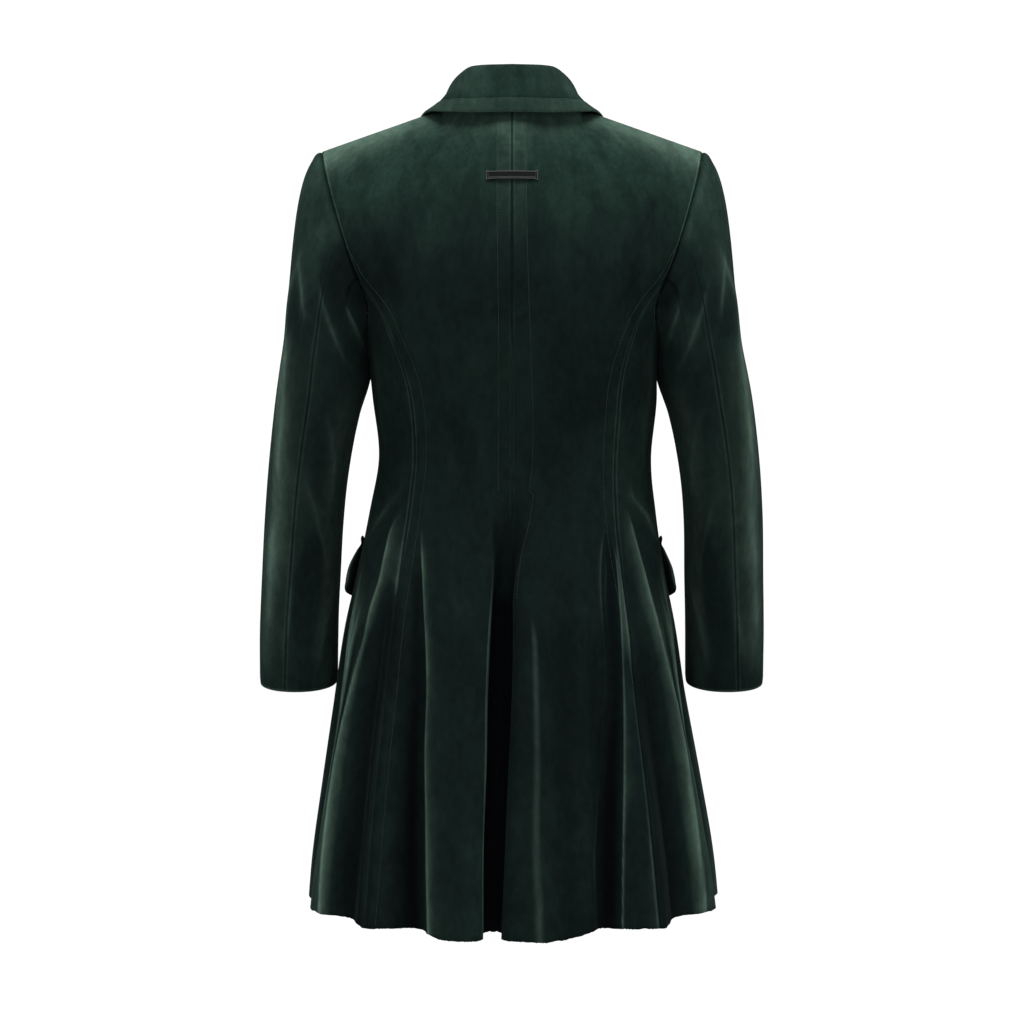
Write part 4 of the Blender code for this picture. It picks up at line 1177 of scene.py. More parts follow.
# lapels, lying on the fronts
lapelPiece = {
    "rows": 90, "columns": 36, "top": 0.63, "lift": 0.0008, "hidden": 0.80, "clear": 0.0040,
    "roll": 0.004, "edgeLight": (0.45, 0, 0.0014), "stitchLight": (0.12, 0.0075, 0.0012),
    "stitchIn": 0.0075, "stitchFrom": 0.016, "stitchBelow": 0.0080,
    "flat": (0.095, 0.255), "area": 0.0165,
}
# share of the way up from the break, how far it reaches over the front
lapelReach = np.array([
    (0.00, 0.03), (0.15, 0.17), (0.35, 0.33), (0.60, 0.47), (0.80, 0.56), (0.92, 0.60),
    (1.00, 0.42),
])


def makeLapels():
    p = lapelPiece
    hem = levels["hem"]
    foldStart = (levels["lapelBreak"] - hem) / (levels["chest"] - hem) * skirtUnits
    top = skirtUnits + chestUnits * p["top"]
    for side, end in ((1, "left"), (-1, "right")):
        bottom = foldStart + (p["hidden"] if side > 0 else 0.0)
        rows = np.linspace(bottom, top, p["rows"])
        reach = curveAt(lapelReach, (rows - foldStart) / (top - foldStart))[..., 0]
        start = np.zeros(len(rows))
        if side > 0:
            ownEdge = frontPoint(side, rows, 0.0)
            covered = p["clear"] - frontEdge(ownEdge[:, 2]) - ownEdge[:, 0]
            width = frontPoint(side, rows, reach)[:, 0] - ownEdge[:, 0]
            start = np.clip(covered / width * reach, 0.0, reach - 0.02)
        over = np.linspace(0, 1, p["columns"])[None, :]
        share = start[:, None] + (reach - start)[:, None] * over
        row = np.broadcast_to(rows[:, None], share.shape)
        points = frontPoint(side, row, share)
        before = frontPoint(side, row, np.maximum(share - 0.01, 0))
        up = frontPoint(side, row + 0.15, share) - frontPoint(side, row - 0.15, share)
        out = unit(np.cross(frontPoint(side, row, share + 0.01) - before, up))
        out = np.where((out[..., 1] > 0)[..., None], -out, out)
        roll = p["roll"] * np.abs(np.sin(pi * over)) ** 0.8 + p["lift"] + cloth["wall"]
        points = softenRows(points + out * roll[..., None], p["rows"] // 2, p["rows"] // 2 - 3, 4)
        edges = (rowDistance(points, last=True), columnDistance(points, last=True))
        # painted highlight along the lapel's edges and beside its stitching
        paintedLightShade = sum(stripe(edge, *p["edgeLight"]) for edge in edges)
        paintedLightShade = paintedLightShade + stripe(edges[0], *p["stitchLight"])
        piece = clothPiece(f"lapelVelvet_{end}", points, out, paintedLightShade, [velvet, velvet])
        standsFor(piece, f"lapel_{end}")
        inRows = (edges[0][:, 0] > p["stitchFrom"]) & (edges[1][:, 0] > p["stitchBelow"])
        line = lineOnRows(points[inRows], out[inRows], edges[0][inRows], p["stitchIn"])
        addStitches(f"lapelStitch_{end}", *line)


# sleeves
sleevePiece = {
    "under": 76, "upper": 92, "headRows": 44, "armRows": 116, "backSeam": 84.0, "frontSeam": 248.0,
    "cuffDip": 0.009, "allowance": 0.004, "roundness": 0.92,
    "gathers": (0.0006, 0.012, 0.012), "headPuff": (0.0016, 0.006, 0.006),
    "headDip": (0.0012, 0, 0.0018), "headShade": (0.5, 0, 0.0014),
    "headLight": (0.08, 0.007, 0.003), "topLight": 0.08, "innerLight": 0.13,
    "cuffLight": (0.35, 0, 0.0016),
    "cuffRoll": (0.0006, 0, 0.0035), "seamDip": 0.45, "seamLight": 0.55,
    "flatUpper": (0.215, 0.600), "areaUpper": 0.0965,
    "flatUnder": (0.150, 0.470), "areaUnder": 0.0570,
}
# level, middle across and in depth, half width, half depth
sleeveSections = np.array([
    (-0.262, 0.1990, -0.0020, 0.0445, 0.0720),
    (-0.304, 0.2035, 0.0010, 0.0455, 0.0690),
    (-0.346, 0.2100, 0.0020, 0.0435, 0.0650),
    (-0.388, 0.2152, 0.0010, 0.0422, 0.0620),
    (-0.430, 0.2190, -0.0030, 0.0417, 0.0590),
    (-0.490, 0.2228, -0.0120, 0.0417, 0.0560),
    (-0.550, 0.2262, -0.0230, 0.0416, 0.0535),
    (-0.602, 0.2272, -0.0320, 0.0413, 0.0520),
])
# how the sleeve leaves the armhole and comes to its first section, at the shoulder and below
headLeaves, headArrives = np.array((0.108, 0.0, -0.042)), np.array((0.036, 0.0, -0.190))
underLeaves, underArrives = np.array((0.014, 0.0, -0.002)), np.array((-0.002, 0.0, -0.020))
sleeveSwing = np.array([
    (-0.180, 0.0), (-0.240, 0.0010), (-0.300, 0.0040), (-0.360, 0.0048), (-0.420, 0.0040),
    (-0.500, 0.0010), (-0.560, -0.0006), (-0.640, -0.0012),
])
armholeMiddle = np.array((0.100, 0.0, -0.130))
# the seams turn outward a little toward the cuff
sleeveTwist = np.array([(-0.262, 0.0), (-0.350, 0.0), (-0.480, -3.0), (-0.602, -8.0)])

# sleeve creases, as on the body, with the turn round the sleeve in place of the angle;
# side 0 stands for both
sleeveCreases = [
    (0, 7.0, 0.0008, 0.50, 0, (  # short crease below the shoulder
        (-0.145, 34.0), (-0.186, 50.0), (-0.228, 66.0),
    )),
    (0, 24.0, 0.0080, 0.00, 0, (  # cloth pressed to the side below the arm
        (-0.205, 172.0), (-0.250, 172.0), (-0.318, 172.0),
    )),
    (1, 12, 0.0012, 0.42, 0, (  # outer ridge long
        (-0.140, 50.0), (-0.182, 28.0), (-0.205, 18.0), (-0.250, 34.0), (-0.314, 47.0),
        (-0.389, 49.0),
    )),
    (1, 18, 0.0010, 0.30, 0, (  # outer ridge low
        (-0.410, 50.7), (-0.451, 46.9), (-0.503, 47.3), (-0.556, 46.3),
    )),
    (0, 40, 0.0000, 0.46, 0, (  # broad light on the outer side
        (-0.235, 24.0), (-0.300, 34.0), (-0.360, 46.0), (-0.420, 52.0), (-0.500, 50.0),
    )),
    (0, 44, 0.0000, 0.20, 0, (  # soft light on the forearm
        (-0.440, 50.0), (-0.520, 46.0), (-0.600, 44.0),
    )),
    (1, 9, 0.0020, 0.36, 0, (  # armpit drag 1
        (-0.165, 93.7), (-0.188, 103.5), (-0.216, 120.1), (-0.243, 144.6), (-0.255, 157.2),
    )),
    (1, 7.6, 0.0016, 0.18, 0, (  # armpit drag 2
        (-0.171, 71.9), (-0.204, 85.0), (-0.235, 100.9), (-0.261, 120.1), (-0.283, 143.6),
    )),
    (1, 16.8, -0.0022, -0.95, 0, (  # armpit hollow
        (-0.165, 108.8), (-0.188, 120.1), (-0.215, 136.6), (-0.237, 154.3),
    )),
    (1, 12.3, -0.0014, -0.45, 0, (  # upper hollow
        (-0.127, 89.5), (-0.152, 93.7), (-0.194, 98.5), (-0.229, 111.5),
    )),
    (1, 11, 0.0013, 0.10, 0, (  # elbow fold 1
        (-0.307, 99.1), (-0.337, 116.5), (-0.378, 132.6), (-0.420, 138.4),
    )),
    (1, 9.9, 0.0013, 0.10, 0, (  # elbow fold 2
        (-0.379, 85.1), (-0.410, 103.1), (-0.451, 121.9), (-0.493, 140.1),
    )),
    (1, 14.1, -0.0016, -0.18, 0, (  # forearm hollow
        (-0.430, 116.9), (-0.472, 110.9), (-0.514, 104.8), (-0.566, 104.1),
    )),
    (1, 12.8, 0.0014, 0.16, 0, (  # forearm ridge
        (-0.473, 166.8), (-0.514, 147.0), (-0.556, 129.2), (-0.594, 119.3),
    )),
    (1, 10.4, 0.0010, 0.12, 0, (  # forearm ridge 2
        (-0.472, 76.9), (-0.514, 82.1), (-0.556, 75.3), (-0.588, 69.1),
    )),
    (1, 32.2, -0.0012, 0.00, 0, (  # inner hollow
        (-0.327, 129.0), (-0.389, 152.9), (-0.472, 158.8), (-0.557, 160.5),
    )),
    (-1, 12, 0.0012, 0.42, 0, (  # outer ridge long
        (-0.140, 50.0), (-0.182, 30.0), (-0.205, 16.0), (-0.250, 31.0), (-0.314, 43.0),
        (-0.389, 46.0),
    )),
    (-1, 18, 0.0010, 0.30, 0, (  # outer ridge low
        (-0.410, 55.0), (-0.451, 51.0), (-0.503, 46.9), (-0.556, 42.5),
    )),
    (-1, 8.7, 0.0020, 0.36, 0, (  # armpit drag 1
        (-0.165, 91.4), (-0.188, 101.1), (-0.216, 117.8), (-0.244, 138.6), (-0.255, 150.7),
    )),
    (-1, 7.5, 0.0016, 0.18, 0, (  # armpit drag 2
        (-0.175, 68.9), (-0.206, 83.0), (-0.237, 99.5), (-0.261, 117.0), (-0.283, 141.8),
    )),
    (-1, 16, -0.0022, -0.95, 0, (  # armpit hollow
        (-0.165, 106.1), (-0.188, 117.3), (-0.215, 133.7), (-0.238, 146.6),
    )),
    (-1, 12, -0.0014, -0.45, 0, (  # upper hollow
        (-0.127, 87.4), (-0.152, 91.4), (-0.194, 96.2), (-0.229, 109.7),
    )),
    (-1, 11.9, 0.0013, 0.10, 0, (  # elbow fold 1
        (-0.307, 101.7), (-0.337, 118.8), (-0.378, 137.4), (-0.420, 142.3),
    )),
    (-1, 10, 0.0013, 0.10, 0, (  # elbow fold 2
        (-0.389, 89.2), (-0.415, 106.4), (-0.456, 123.4), (-0.498, 136.4),
    )),
    (-1, 14.2, -0.0016, -0.18, 0, (  # forearm hollow
        (-0.430, 122.6), (-0.472, 113.9), (-0.514, 105.6), (-0.566, 103.1),
    )),
    (-1, 12, 0.0014, 0.16, 0, (  # forearm ridge
        (-0.473, 166.5), (-0.514, 143.5), (-0.556, 124.8), (-0.594, 114.6),
    )),
    (-1, 10.9, 0.0010, 0.12, 0, (  # forearm ridge 2
        (-0.472, 76.9), (-0.514, 80.1), (-0.556, 71.5), (-0.588, 64.2),
    )),
    (-1, 25.8, -0.0012, 0.00, 0, (  # inner hollow
        (-0.327, 133.2), (-0.389, 160.4), (-0.472, 152.4), (-0.557, 147.0),
    )),
]


def armholeLoop():
    up = np.linspace(1, 0, 40)
    share = np.linspace(0, 1, 60)
    under = bodyPoint(sideAngle(share, sideTop(share)), sideTop(share))
    loop = np.concatenate([along(backArmhole, up), under, along(frontArmhole, up[::-1])[:-1]])
    steps = np.linalg.norm(np.roll(loop, -1, axis=0) - loop, axis=1)
    run = np.concatenate([[0], np.cumsum(steps)]) / steps.sum()
    closed = np.concatenate([loop, loop[:1]])
    back, front = sleevePiece["backSeam"] / 360, sleevePiece["frontSeam"] / 360
    even = np.concatenate([
        back + (front - back) * spread(sleevePiece["under"] + 1)[:-1],
        front + (back + 1 - front) * spread(sleevePiece["upper"] + 1)[:-1],
    ])
    return np.stack([np.interp(even % 1, run, closed[:, k]) for k in range(3)], -1), 2 * pi * even


def sleeveRing(turns, z):
    z = np.asarray(z, float)[..., None]
    turns = turns + np.radians(curveAt(sleeveTwist, z)[..., 0])
    x, y, halfWidth, halfDepth = np.moveaxis(curveAt(sleeveSections, z), -1, 0)
    dip = sleevePiece["cuffDip"] * smoothStep(z, sleeveSections[-3, 0], sleeveSections[-1, 0])
    across, deep = (
        np.sign(part) * np.abs(part) ** sleevePiece["roundness"]
        for part in (np.cos(turns), np.sin(turns))
    )
    return np.stack([x + halfWidth * across, y + halfDepth * deep, z - dip * deep], -1)


def sleeveGrid():
    p = sleevePiece
    loop, turns = armholeLoop()
    first = sleeveRing(turns, sleeveSections[0, 0])
    u = (np.arange(p["headRows"]) / p["headRows"])[:, None, None]
    high = (0.5 + 0.5 * np.cos(turns))[None, :, None]
    leaves = underLeaves + (headLeaves - underLeaves) * high
    arrives = underArrives + (headArrives - underArrives) * high
    head = (
        loop * (2 * u**3 - 3 * u**2 + 1) + first * (3 * u**2 - 2 * u**3)
        + leaves * (u**3 - 2 * u**2 + u) + arrives * (u**3 - u**2)
    )
    z = np.linspace(sleeveSections[0, 0], sleeveSections[-1, 0], p["armRows"])
    points = softenRows(np.concatenate([head, sleeveRing(turns[None, :], z)]), p["headRows"], 6, 6)
    # the seam allowance lies under the body's edge
    tucked = loop + unit(armholeMiddle - loop) * p["allowance"]
    return np.concatenate([tucked[None], points]), turns


def makeSleeves():
    p = sleevePiece
    for side, end in ((1, "left"), (-1, "right")):
        points, turns = sleeveGrid()
        ring = np.concatenate([points[:, -1:], points, points[:, :1]], axis=1)
        normals = unit(np.cross(np.gradient(ring, axis=0), np.gradient(ring, axis=1)))[:, 1:-1]
        if normals[-1, 0, 0] < 0:
            normals = -normals
        z = points[..., 2]
        around = (np.degrees(turns)[None, :] + curveAt(sleeveTwist, z)[..., 0]) % 360
        height, paintedLightShade = np.zeros(z.shape), np.zeros(z.shape)
        for crease in sleeveCreases:
            if crease[0] in (0, side):
                wrapped = (around + 180) % 360 - 180 if crease[5][0][1] < 90 else around
                on, paintedHighlight = creaseShare((1, *crease[1:]), wrapped, z)
                height, paintedLightShade = height + crease[2] * on, paintedLightShade + crease[3] * paintedHighlight
        headDistance = columnDistance(points) - p["allowance"]
        high = np.maximum(np.cos(turns), 0.0)[None, :] ** 0.5
        gathers = np.sin(turns * 41 + 2 * np.sin(turns * 7))[None, :]
        gathers = gathers * stripe(headDistance, *p["gathers"])
        height = height + high * (stripe(headDistance, *p["headPuff"]) + gathers)
        height = height - stripe(headDistance, *p["headDip"])
        # painted shade in the armhole seam, painted highlight on the top of the head and toward the
        # shoulder
        paintedLightShade = paintedLightShade - stripe(headDistance, *p["headShade"])
        paintedLightShade = paintedLightShade + high * stripe(headDistance, *p["headLight"])
        paintedLightShade = paintedLightShade + p["topLight"] * smoothStep(z, -0.24, -0.09)
        # painted light: the inner side is lighter, away from the armpit
        inner = smoothStep(around, 105, 140) * smoothStep(around, 265, 235)
        paintedLightShade = paintedLightShade + p["innerLight"] * inner * smoothStep(z, -0.27, -0.33)
        cuffDistance = columnDistance(points, last=True)
        # painted highlight on the cuff's edge
        paintedLightShade = paintedLightShade + stripe(cuffDistance, *p["cuffLight"])
        height = height - stripe(cuffDistance, *p["cuffRoll"])
        points = points + normals * height[..., None]
        under = list(range(p["under"] + 1))
        upper = [j % len(turns) for j in range(p["under"], len(turns) + 1)]
        for kind, columns in (("Upper", upper), ("Under", under)):
            outer = points[:, columns].copy()
            outNormals = normals[:, columns]
            piecePaintedLightShade = paintedLightShade[:, columns].copy()
            # painted highlight beside the sleeve's seams
            for last in (False, True):
                dip, light = seamEdge(rowDistance(outer, last))
                below = smoothStep(columnDistance(outer), 0.004, 0.05)
                outer = outer + outNormals * (p["seamDip"] * dip * below)[..., None]
                piecePaintedLightShade += p["seamLight"] * light * below
            if side < 0:
                outer[..., 0] += curveAt(sleeveSwing, outer[..., 2])[..., 0]
            flip = np.array((side, 1, 1))
            piece = clothPiece(f"sleeve{kind}Velvet_{end}", outer * flip, outNormals * flip,
                               piecePaintedLightShade, [velvet, reverse])
            standsFor(piece, f"sleeve_{kind.lower()}_{end}")


# collar: one folded piece, from the neck seam over the fold to the outer edge
collarPiece = {
    "halfCount": 60, "profile": 46, "foldRound": 0.0045, "standBend": 0.45,
    "foldTurns": (180, 135, 90, 50, 20), "fallShares": (0.3, 0.65, 1.0), "centreWidth": 0.28,
    "bandEdge": (0.0152, 0.0138), "bandLift": 0.0007, "edgeRoll": (0.0006, 0, 0.0012),
    "edgeLight": (0.22, 0, 0.0012), "endLight": (0.30, 0, 0.0014), "bandLight": 0.17,
    "bandLine": (0.22, 0.0136, 0.0008), "bandShade": (0.35, 0.0160, 0.0010), "fallLight": 0.14,
    "stitchIn": 0.0148, "stitchFrom": 0.012, "flat": (0.400, 0.100), "area": 0.0300,
}
# neck seam, fold and outer edge, each x, y, z, then how far the fall bows out
collarRows = np.array([
    (0.0000, 0.0660, 0.0045, 0.0000, 0.0640, 0.0390, 0.0000, 0.0830, -0.0120, 0.0006),
    (0.0360, 0.0578, 0.0045, 0.0330, 0.0560, 0.0390, 0.0420, 0.0760, -0.0115, 0.0000),
    (0.0600, 0.0360, 0.0045, 0.0460, 0.0340, 0.0372, 0.0720, 0.0500, -0.0066, -0.0022),
    (0.0715, 0.0000, 0.0045, 0.0555, 0.0000, 0.0245, 0.0935, 0.0020, -0.0015, -0.0034),
    (0.0700, -0.0280, -0.0035, 0.0605, -0.0310, 0.0105, 0.1025, -0.0425, -0.0190, -0.0015),
    (0.0658, -0.0510, -0.0190, 0.0620, -0.0570, -0.0070, 0.1025, -0.0770, -0.0550, 0.0020),
])


def collarGrid():
    p = collarPiece
    lines = []
    for i in range(-p["halfCount"], p["halfCount"] + 1):
        place = along(collarRows, abs(i) / p["halfCount"])
        row = place[:9].reshape(3, 3) * (np.sign(i) or 1, 1, 1)
        if i == 0:
            row[:, 0] = 0.0
        neck, fold, edge = row
        up = unit(fold - neck)
        away = edge - fold
        out = unit(away - up * (away @ up))
        arc = fold - up * p["foldRound"] + out * p["foldRound"]
        line = [neck, neck + (fold - neck) * p["standBend"]]
        for turn in np.radians(p["foldTurns"]):
            line.append(arc + (out * cos(turn) + up * sin(turn)) * p["foldRound"])
        last = line[-1]
        for share in p["fallShares"]:
            line.append(last + (edge - last) * share + out * place[9] * sin(pi * share))
        line = np.array(line)
        run = np.concatenate([[0], np.cumsum(np.linalg.norm(np.diff(line, axis=0), axis=1))])
        lines.append(curveAt(np.column_stack([run, line]), np.linspace(0, run[-1], p["profile"])))
    return np.array(lines)


def makeCollar():
    p = collarPiece
    points = collarGrid()
    normals = unit(np.cross(np.gradient(points, axis=0), np.gradient(points, axis=1)))
    if normals[p["halfCount"], p["profile"] // 2, 2] < 0:
        normals = -normals
    edge = rowDistance(points, last=True)
    ends = np.minimum(columnDistance(points), columnDistance(points, last=True))
    # the band along the outer edge stands up a little and gets a painted highlight, less so at the
    # centre
    band = smoothStep(edge, *p["bandEdge"])
    lift = p["bandLift"] * band - stripe(edge, *p["edgeRoll"])
    points = points + normals * lift[..., None]
    centre = bump(np.linspace(-1, 1, len(points)) / p["centreWidth"])[:, None]
    # painted highlight on the edges, the ends and the band, painted shade and light lines where the
    # band meets the fall, painted light on the fall away from the centre
    paintedLightShade = stripe(edge, *p["edgeLight"]) + stripe(ends, *p["endLight"])
    paintedLightShade = paintedLightShade + p["bandLight"] * band * (1 - 0.4 * centre)
    paintedLightShade = paintedLightShade + stripe(edge, *p["bandLine"]) - stripe(edge, *p["bandShade"])
    paintedLightShade = paintedLightShade + p["fallLight"] * (1 - centre) * smoothStep(edge, 0.016, 0.03)
    piece = clothPiece("collarVelvetFold", points, normals, paintedLightShade, [collarVelvet, collarVelvet])
    standsFor(piece, "collar")
    inRows = ends[:, 0] > p["stitchFrom"]
    line = lineOnRows(points[inRows], normals[inRows], edge[inRows], p["stitchIn"])
    addStitches("collarStitch", *line)


# pocket flaps: stand off the skirt, with padded rolled edges and a pucker below the pocket's mouth
flapPiece = {
    "back": 86.0, "front": 124.0, "top": -0.447, "bottom": -0.508, "standOff": 0.0068,
    "lift": 0.0004, "wall": 0.0022, "corner": 0.16, "cornerRise": 0.22, "slope": 0.010,
    "roll": 0.0052, "rollWidth": 0.0060, "padding": 0.0012, "mouthLift": (0.0010, 0.05, 0.05),
    "mouthDip": (0.0012, 0.16, 0.07), "waver": 0.0007, "stitchDip": (0.0005, 0.0085, 0.0012),
    "pileLight": 0.10, "edgeLight": (0.55, 0.0035, 0.0020), "edgeShade": (0.9, 0, 0.0010),
    "mouthLight": (0.25, 0.05, 0.04), "mouthShade": (0.8, 0.17, 0.045),
    "stitchShares": (0.30, 0.70), "stitchIn": 0.0085, "rows": 44, "columns": 72,
    "flat": (0.118, 0.063), "area": 0.0062,
}


def makeFlaps():
    p = flapPiece
    for side, end in ((1, "left"), (-1, "right")):
        down, share = np.meshgrid(spread(p["rows"], 0.4), spread(p["columns"]), indexing="ij")
        # both lower corners are round
        fromEnd = np.clip(np.minimum(share, 1 - share) / p["corner"], 0.0, 1.0)
        short = 1 - p["cornerRise"] * (1 - np.sqrt(1 - (1 - fromEnd) ** 2))
        z = p["top"] + (p["bottom"] - p["top"]) * down * short - p["slope"] * share
        angle = side * np.radians(p["back"] + (p["front"] - p["back"]) * share)
        surface = bodyPoint(angle, z)
        out = bodyNormal(angle, z)
        out = np.where((np.sum(out * surface, -1) < 0)[..., None], -out, out)
        lift = p["standOff"] * smoothStep(down, 0.05, 0.80) + p["padding"] * np.sin(pi * down) ** 2
        lift = lift + stripe(down, *p["mouthLift"]) - stripe(down, *p["mouthDip"])
        lift = lift + p["waver"] * np.sin(share * 9 + side) * np.sin(pi * down)
        points = surface + out * (lift + p["lift"] + p["wall"])[..., None]
        edge = np.minimum(rowDistance(points), rowDistance(points, last=True))
        edge = np.minimum(edge, columnDistance(points, last=True))
        rolled = np.clip(1 - edge / p["rollWidth"], 0.0, 1.0)
        turned = p["roll"] * (1 - np.sqrt(1 - rolled**2)) * smoothStep(down, 0.05, 0.45)
        points = points - out * (turned + stripe(edge, *p["stitchDip"]))[..., None]
        # painted light over the flap, painted highlight on its rolled edge and near the pocket's
        # mouth, painted shade at the very edge and just below the mouth
        paintedLightShade = p["pileLight"] + stripe(edge, *p["edgeLight"]) - stripe(edge, *p["edgeShade"])
        paintedLightShade = paintedLightShade + stripe(down, *p["mouthLight"]) - stripe(down, *p["mouthShade"])
        piece = clothPiece(f"flapVelvet_{end}", points, out, paintedLightShade, [velvet, reverse], p["wall"])
        standsFor(piece, f"pocket_flap_{end}")
        middle = slice(*(int(p["columns"] * share) for share in p["stitchShares"]))
        line = lineOnRows(points[:, middle].transpose(1, 0, 2), out[:, middle].transpose(1, 0, 2),
                          edge[:, middle].T, p["stitchIn"])
        addStitches(f"flapStitch_{end}", *line)


# hanging loop across the centre back seam, sewn down at its flared ends
loopPiece = {
    "level": -0.0788, "length": 0.0530, "height": 0.0086, "wall": 0.0013, "lift": 0.0005,
    "rise": 0.0014, "flare": 0.0009, "rows": 22, "columns": 90, "edgeRoll": (0.0007, 0, 0.0005),
    "edgeLift": (0.0003, 0.0009, 0.0004), "crease": (1, 0.0022, 0.00035), "endLine": 0.0028,
    "endWidth": 0.00035, "edgeLight": (0.85, 0.0006, 0.0004),
}


def backAt(across, z):
    # where the back lies at a place across and a level above the chest
    share = np.abs(across) / 0.17
    up = (z - levels["chest"]) / (centreBack[-1, 2] - levels["chest"])
    for _ in range(12):
        point = backUpper(share, up)
        share = np.maximum(share + (np.abs(across) - point[..., 0]) / 0.18, 0.0)
        up = up + (z - point[..., 2]) / 0.19
    point = backUpper(share, up)
    point[..., 0] *= np.sign(across)
    return point


def makeLoop():
    p = loopPiece
    down, share = np.meshgrid(spread(p["rows"], 0.5), spread(p["columns"], 0.8), indexing="ij")
    reach = np.abs(2 * share - 1)
    across = p["length"] * (0.5 - share)
    flare = p["flare"] * smoothStep(reach, 0.86, 0.96)
    z = p["level"] + p["height"] * (0.5 - down) - flare * (2 * down - 1)
    points = backAt(across, z)
    lift = p["lift"] + p["wall"] + p["rise"] * (1 - reach**4)
    fromBelow = columnDistance(points, last=True)
    ends = np.minimum(rowDistance(points), rowDistance(points, last=True))
    edge = np.minimum(ends, np.minimum(columnDistance(points), fromBelow))
    crease = stripe(fromBelow, *p["crease"]) * (ends > p["endLine"])
    endLine = stripe(ends, 1, p["endLine"], p["endWidth"])
    lift = lift - stripe(edge, *p["edgeRoll"]) + stripe(edge, *p["edgeLift"])
    lift = lift - 0.00025 * crease - 0.0003 * endLine
    points = points + np.array((0.0, 1.0, 0.0)) * lift[..., None]
    normals = gridNormals(points, np.array((0.0, 1.0, 0.0)))
    # painted highlight along the loop's edges, its crease and its stitched ends
    paintedLightShade = stripe(edge, *p["edgeLight"]) + 0.55 * crease + 0.25 * endLine
    piece = clothPiece("loopLeather", points, normals, paintedLightShade, [leather, leather], p["wall"])
    standsFor(piece, "hanging_loop")
    for end, column in (("left", 4), ("right", -5)):
        addStitches(f"loopStitch_{end}", points[2:-2, column], normals[2:-2, column], "leather")


# buttons on the right front: turned, with a rim, four holes shown as dark discs of painted shade,
# thread and a worked buttonhole
buttonPiece = {
    "levels": (-0.285, -0.355, -0.425), "radius": 0.0110, "thickness": 0.0035, "lift": 0.0008,
    "holeRadius": 0.0009, "holeSpacing": 0.0017, "holeLength": 0.0150, "holeHeight": 0.0011,
    "holeReach": 0.0075, "dish": 0.22, "threads": (-0.00035, 0.0, 0.00035), "threadRise": 0.00045,
    "threadRadius": 0.00022, "segments": 40,
}
# share of the radius, share of the thickness
buttonProfile = [
    (0.00, 0.22), (0.50, 0.22), (0.62, 0.30), (0.74, 0.44), (0.86, 0.50), (0.95, 0.38),
    (1.00, 0.08), (0.98, -0.20), (0.90, -0.42), (0.70, -0.50), (0.00, -0.50),
]


def makeButtons():
    p = buttonPiece
    for number, level in enumerate(p["levels"], 1):
        normal = bodyNormal(np.array(pi), np.array(level))
        away = unit(np.array((0.0, -abs(normal[1]), normal[2] * -np.sign(normal[1]))))
        across = np.array((1.0, 0.0, 0.0))
        upward = np.cross(away, across)
        centre = bodyPoint(np.array(pi), np.array(level)) * (0, 1, 1)
        centre = centre + away * (p["thickness"] / 2 + p["lift"])
        place = Matrix((*zip(across, upward, away, centre), (0, 0, 0, 1)))
        mesh = bmesh.new()
        verts = [
            mesh.verts.new((r * p["radius"], 0.0, h * p["thickness"])) for r, h in buttonProfile
        ]
        edges = [mesh.edges.new(pair) for pair in zip(verts, verts[1:])]
        bmesh.ops.spin(mesh, geom=verts + edges, cent=(0, 0, 0), axis=(0, 0, 1), angle=2 * pi,
                       steps=p["segments"], use_merge=True)
        bmesh.ops.remove_doubles(mesh, verts=mesh.verts, dist=1e-6)
        bmesh.ops.recalc_face_normals(mesh, faces=mesh.faces)
        holes = [(h * p["holeSpacing"], v * p["holeSpacing"]) for h in (-1, 1) for v in (-1, 1)]
        count = len(mesh.faces)
        dish = p["dish"] * p["thickness"]
        # dark discs of painted shade stand in for the four holes
        for h, v in holes:
            bmesh.ops.create_cone(
                mesh, cap_ends=True, segments=14, radius1=p["holeRadius"], radius2=p["holeRadius"],
                depth=0.0004, matrix=Matrix.Translation((h, v, dish - 0.00015)),
            )
        mesh.faces.ensure_lookup_table()
        for face in mesh.faces[count:]:
            face.material_index = 1
        bmesh.ops.transform(mesh, matrix=place, verts=mesh.verts)
        piece = linkPiece(f"buttonHorn_{number}", mesh, [horn, holeShade])
        standsFor(piece, f"button_{number}")
        mesh = bmesh.new()
        for h in (-1, 1):
            for offset in p["threads"]:
                spot = (h * p["holeSpacing"] + offset, 0.0, dish + p["threadRise"])
                form = (p["threadRadius"], p["holeSpacing"] + 0.0005, p["threadRise"], 1.0)
                bar = place @ Matrix.Translation(spot) @ Matrix.Diagonal(form)
                bmesh.ops.create_icosphere(mesh, subdivisions=2, radius=1.0, matrix=bar)
        piece = linkPiece(f"buttonThread_{number}", mesh, [thread])
        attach(piece, "root")
        turn = np.linspace(0, 2 * pi, 60)
        rounded = np.sign(np.cos(turn)) * np.abs(np.cos(turn)) ** 0.5
        flatX = p["holeReach"] + p["holeLength"] / 2 * rounded
        flatZ = level + p["holeHeight"] * np.sin(turn)
        angle = pi - angleAt(flatX, flatZ)
        outs = np.broadcast_to(away, (60, 3))
        addStitches(f"buttonhole_{number}", bodyPoint(angle, flatZ), outs)


makeBacks()
print("backs done")
makeSides()
print("sides done")
makeFronts()
makeLapels()
print("fronts and lapels done")
makeSleeves()
print("sleeves done")
makeCollar()
makeFlaps()
print("collar and flaps done")
makeLoop()
makeButtons()
print("loop and buttons done")


# floor and light

studio = {
    "floor": -0.90, "floorRadius": 9.0, "fill": 0.14, "backdrop": 1.05, "floorGlow": 1.065,
    "glowShare": 0.93,
}
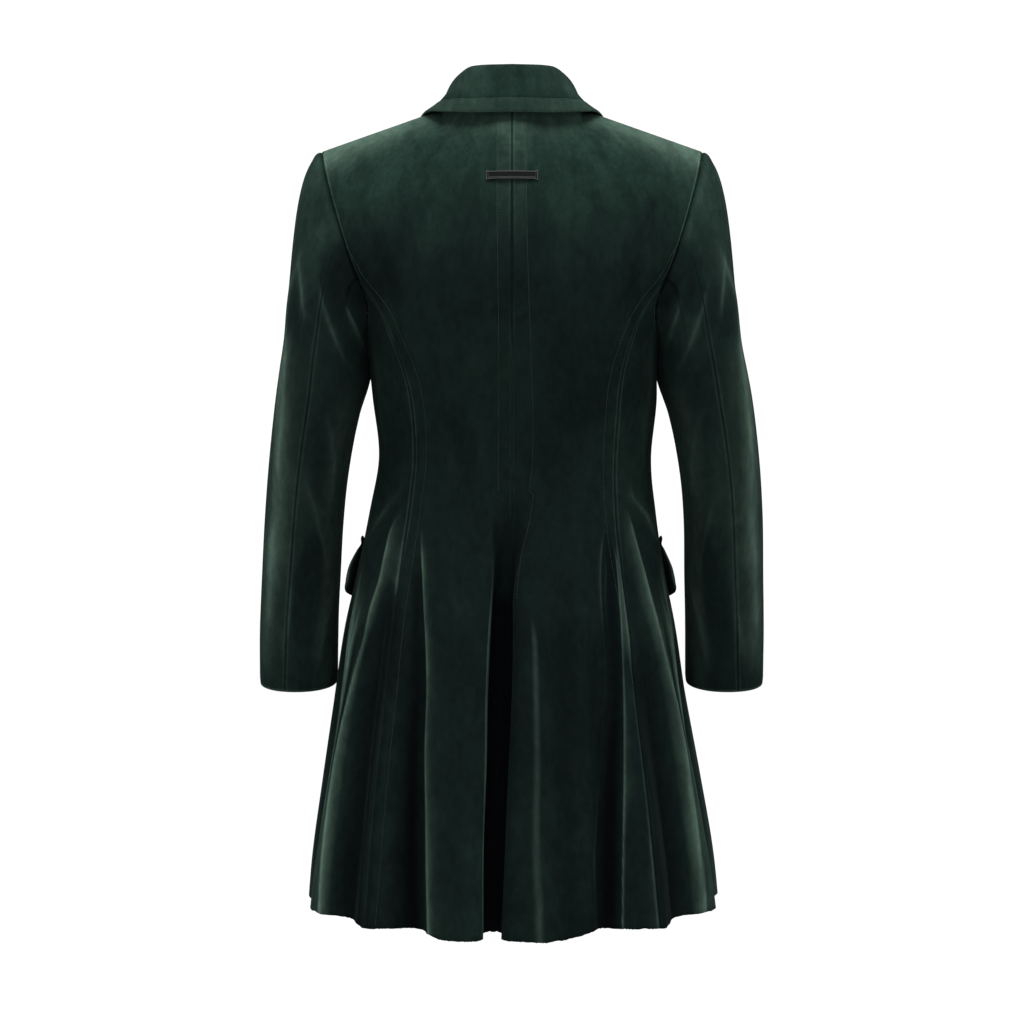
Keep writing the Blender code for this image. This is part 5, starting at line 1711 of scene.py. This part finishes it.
# name, place, aim, width, height, power
studioLights = [
    ("softOverhead", (0.0, 1.0, 2.4), (0.0, 0.0, -0.3), 2.2, 1.2, 80.0),
    ("softBehindCamera", (0.0, 3.6, 0.6), (0.0, 0.0, -0.4), 2.0, 2.0, 14.0),
    ("edgeLeft", (2.0, -0.5, -0.1), (0.1, 0.0, -0.4), 0.7, 2.4, 18.0),
    ("edgeRight", (-2.0, -0.5, -0.1), (-0.1, 0.0, -0.4), 0.7, 2.4, 18.0),
    ("softFront", (0.0, -3.4, 1.2), (0.0, 0.0, -0.4), 2.6, 2.2, 40.0),
]


def areaLight(name, place, target, size, sizeY, power):
    data = bpy.data.lights.new(name, "AREA")
    data.shape = "RECTANGLE"
    data.size, data.size_y = size, sizeY
    data.energy = power
    light = bpy.data.objects.new(name, data)
    light.location = place
    light.rotation_euler = (Vector(target) - Vector(place)).to_track_quat("-Z", "Y").to_euler()
    light.visible_camera = False
    bpy.context.collection.objects.link(light)


def makeStudio():
    scene = bpy.context.scene
    scene.view_settings.view_transform = "Standard"
    world = bpy.data.worlds.new("studio")
    world.use_nodes = True
    scene.world = world
    tree = world.node_tree
    seen = addNode(tree, "ShaderNodeLightPath").outputs["Is Camera Ray"]
    strength = rangeNode(tree, seen, 0.0, 1.0, studio["fill"], studio["backdrop"])
    tree.links.new(strength, tree.nodes["Background"].inputs["Strength"])
    tree.nodes["Background"].inputs["Color"].default_value = (1.0, 1.0, 1.0, 1.0)

    mesh = bmesh.new()
    bmesh.ops.create_circle(mesh, cap_ends=True, segments=96, radius=studio["floorRadius"])
    bmesh.ops.translate(mesh, verts=mesh.verts, vec=(0.0, 0.0, studio["floor"]))
    material, tree, shader = newMaterial(
        "paleFloor", Base_Color=(0.93, 0.93, 0.93, 1.0), Roughness=0.9,
    )
    glow = addNode(tree, "ShaderNodeEmission", {
        "Color": (1.0, 1.0, 1.0, 1.0), "Strength": studio["floorGlow"],
    })
    seen = addNode(tree, "ShaderNodeLightPath").outputs["Is Camera Ray"]
    share = mathNode(tree, "MULTIPLY", seen, studio["glowShare"])
    mixed = addNode(tree, "ShaderNodeMixShader", {
        "Fac": share, 1: shader.outputs["BSDF"], 2: glow.outputs["Emission"],
    })
    tree.links.new(mixed.outputs["Shader"], tree.nodes["Material Output"].inputs["Surface"])
    floor = linkPiece("floor", mesh, [material])
    for light in studioLights:
        areaLight(*light)


makeStudio()
print("studio set")
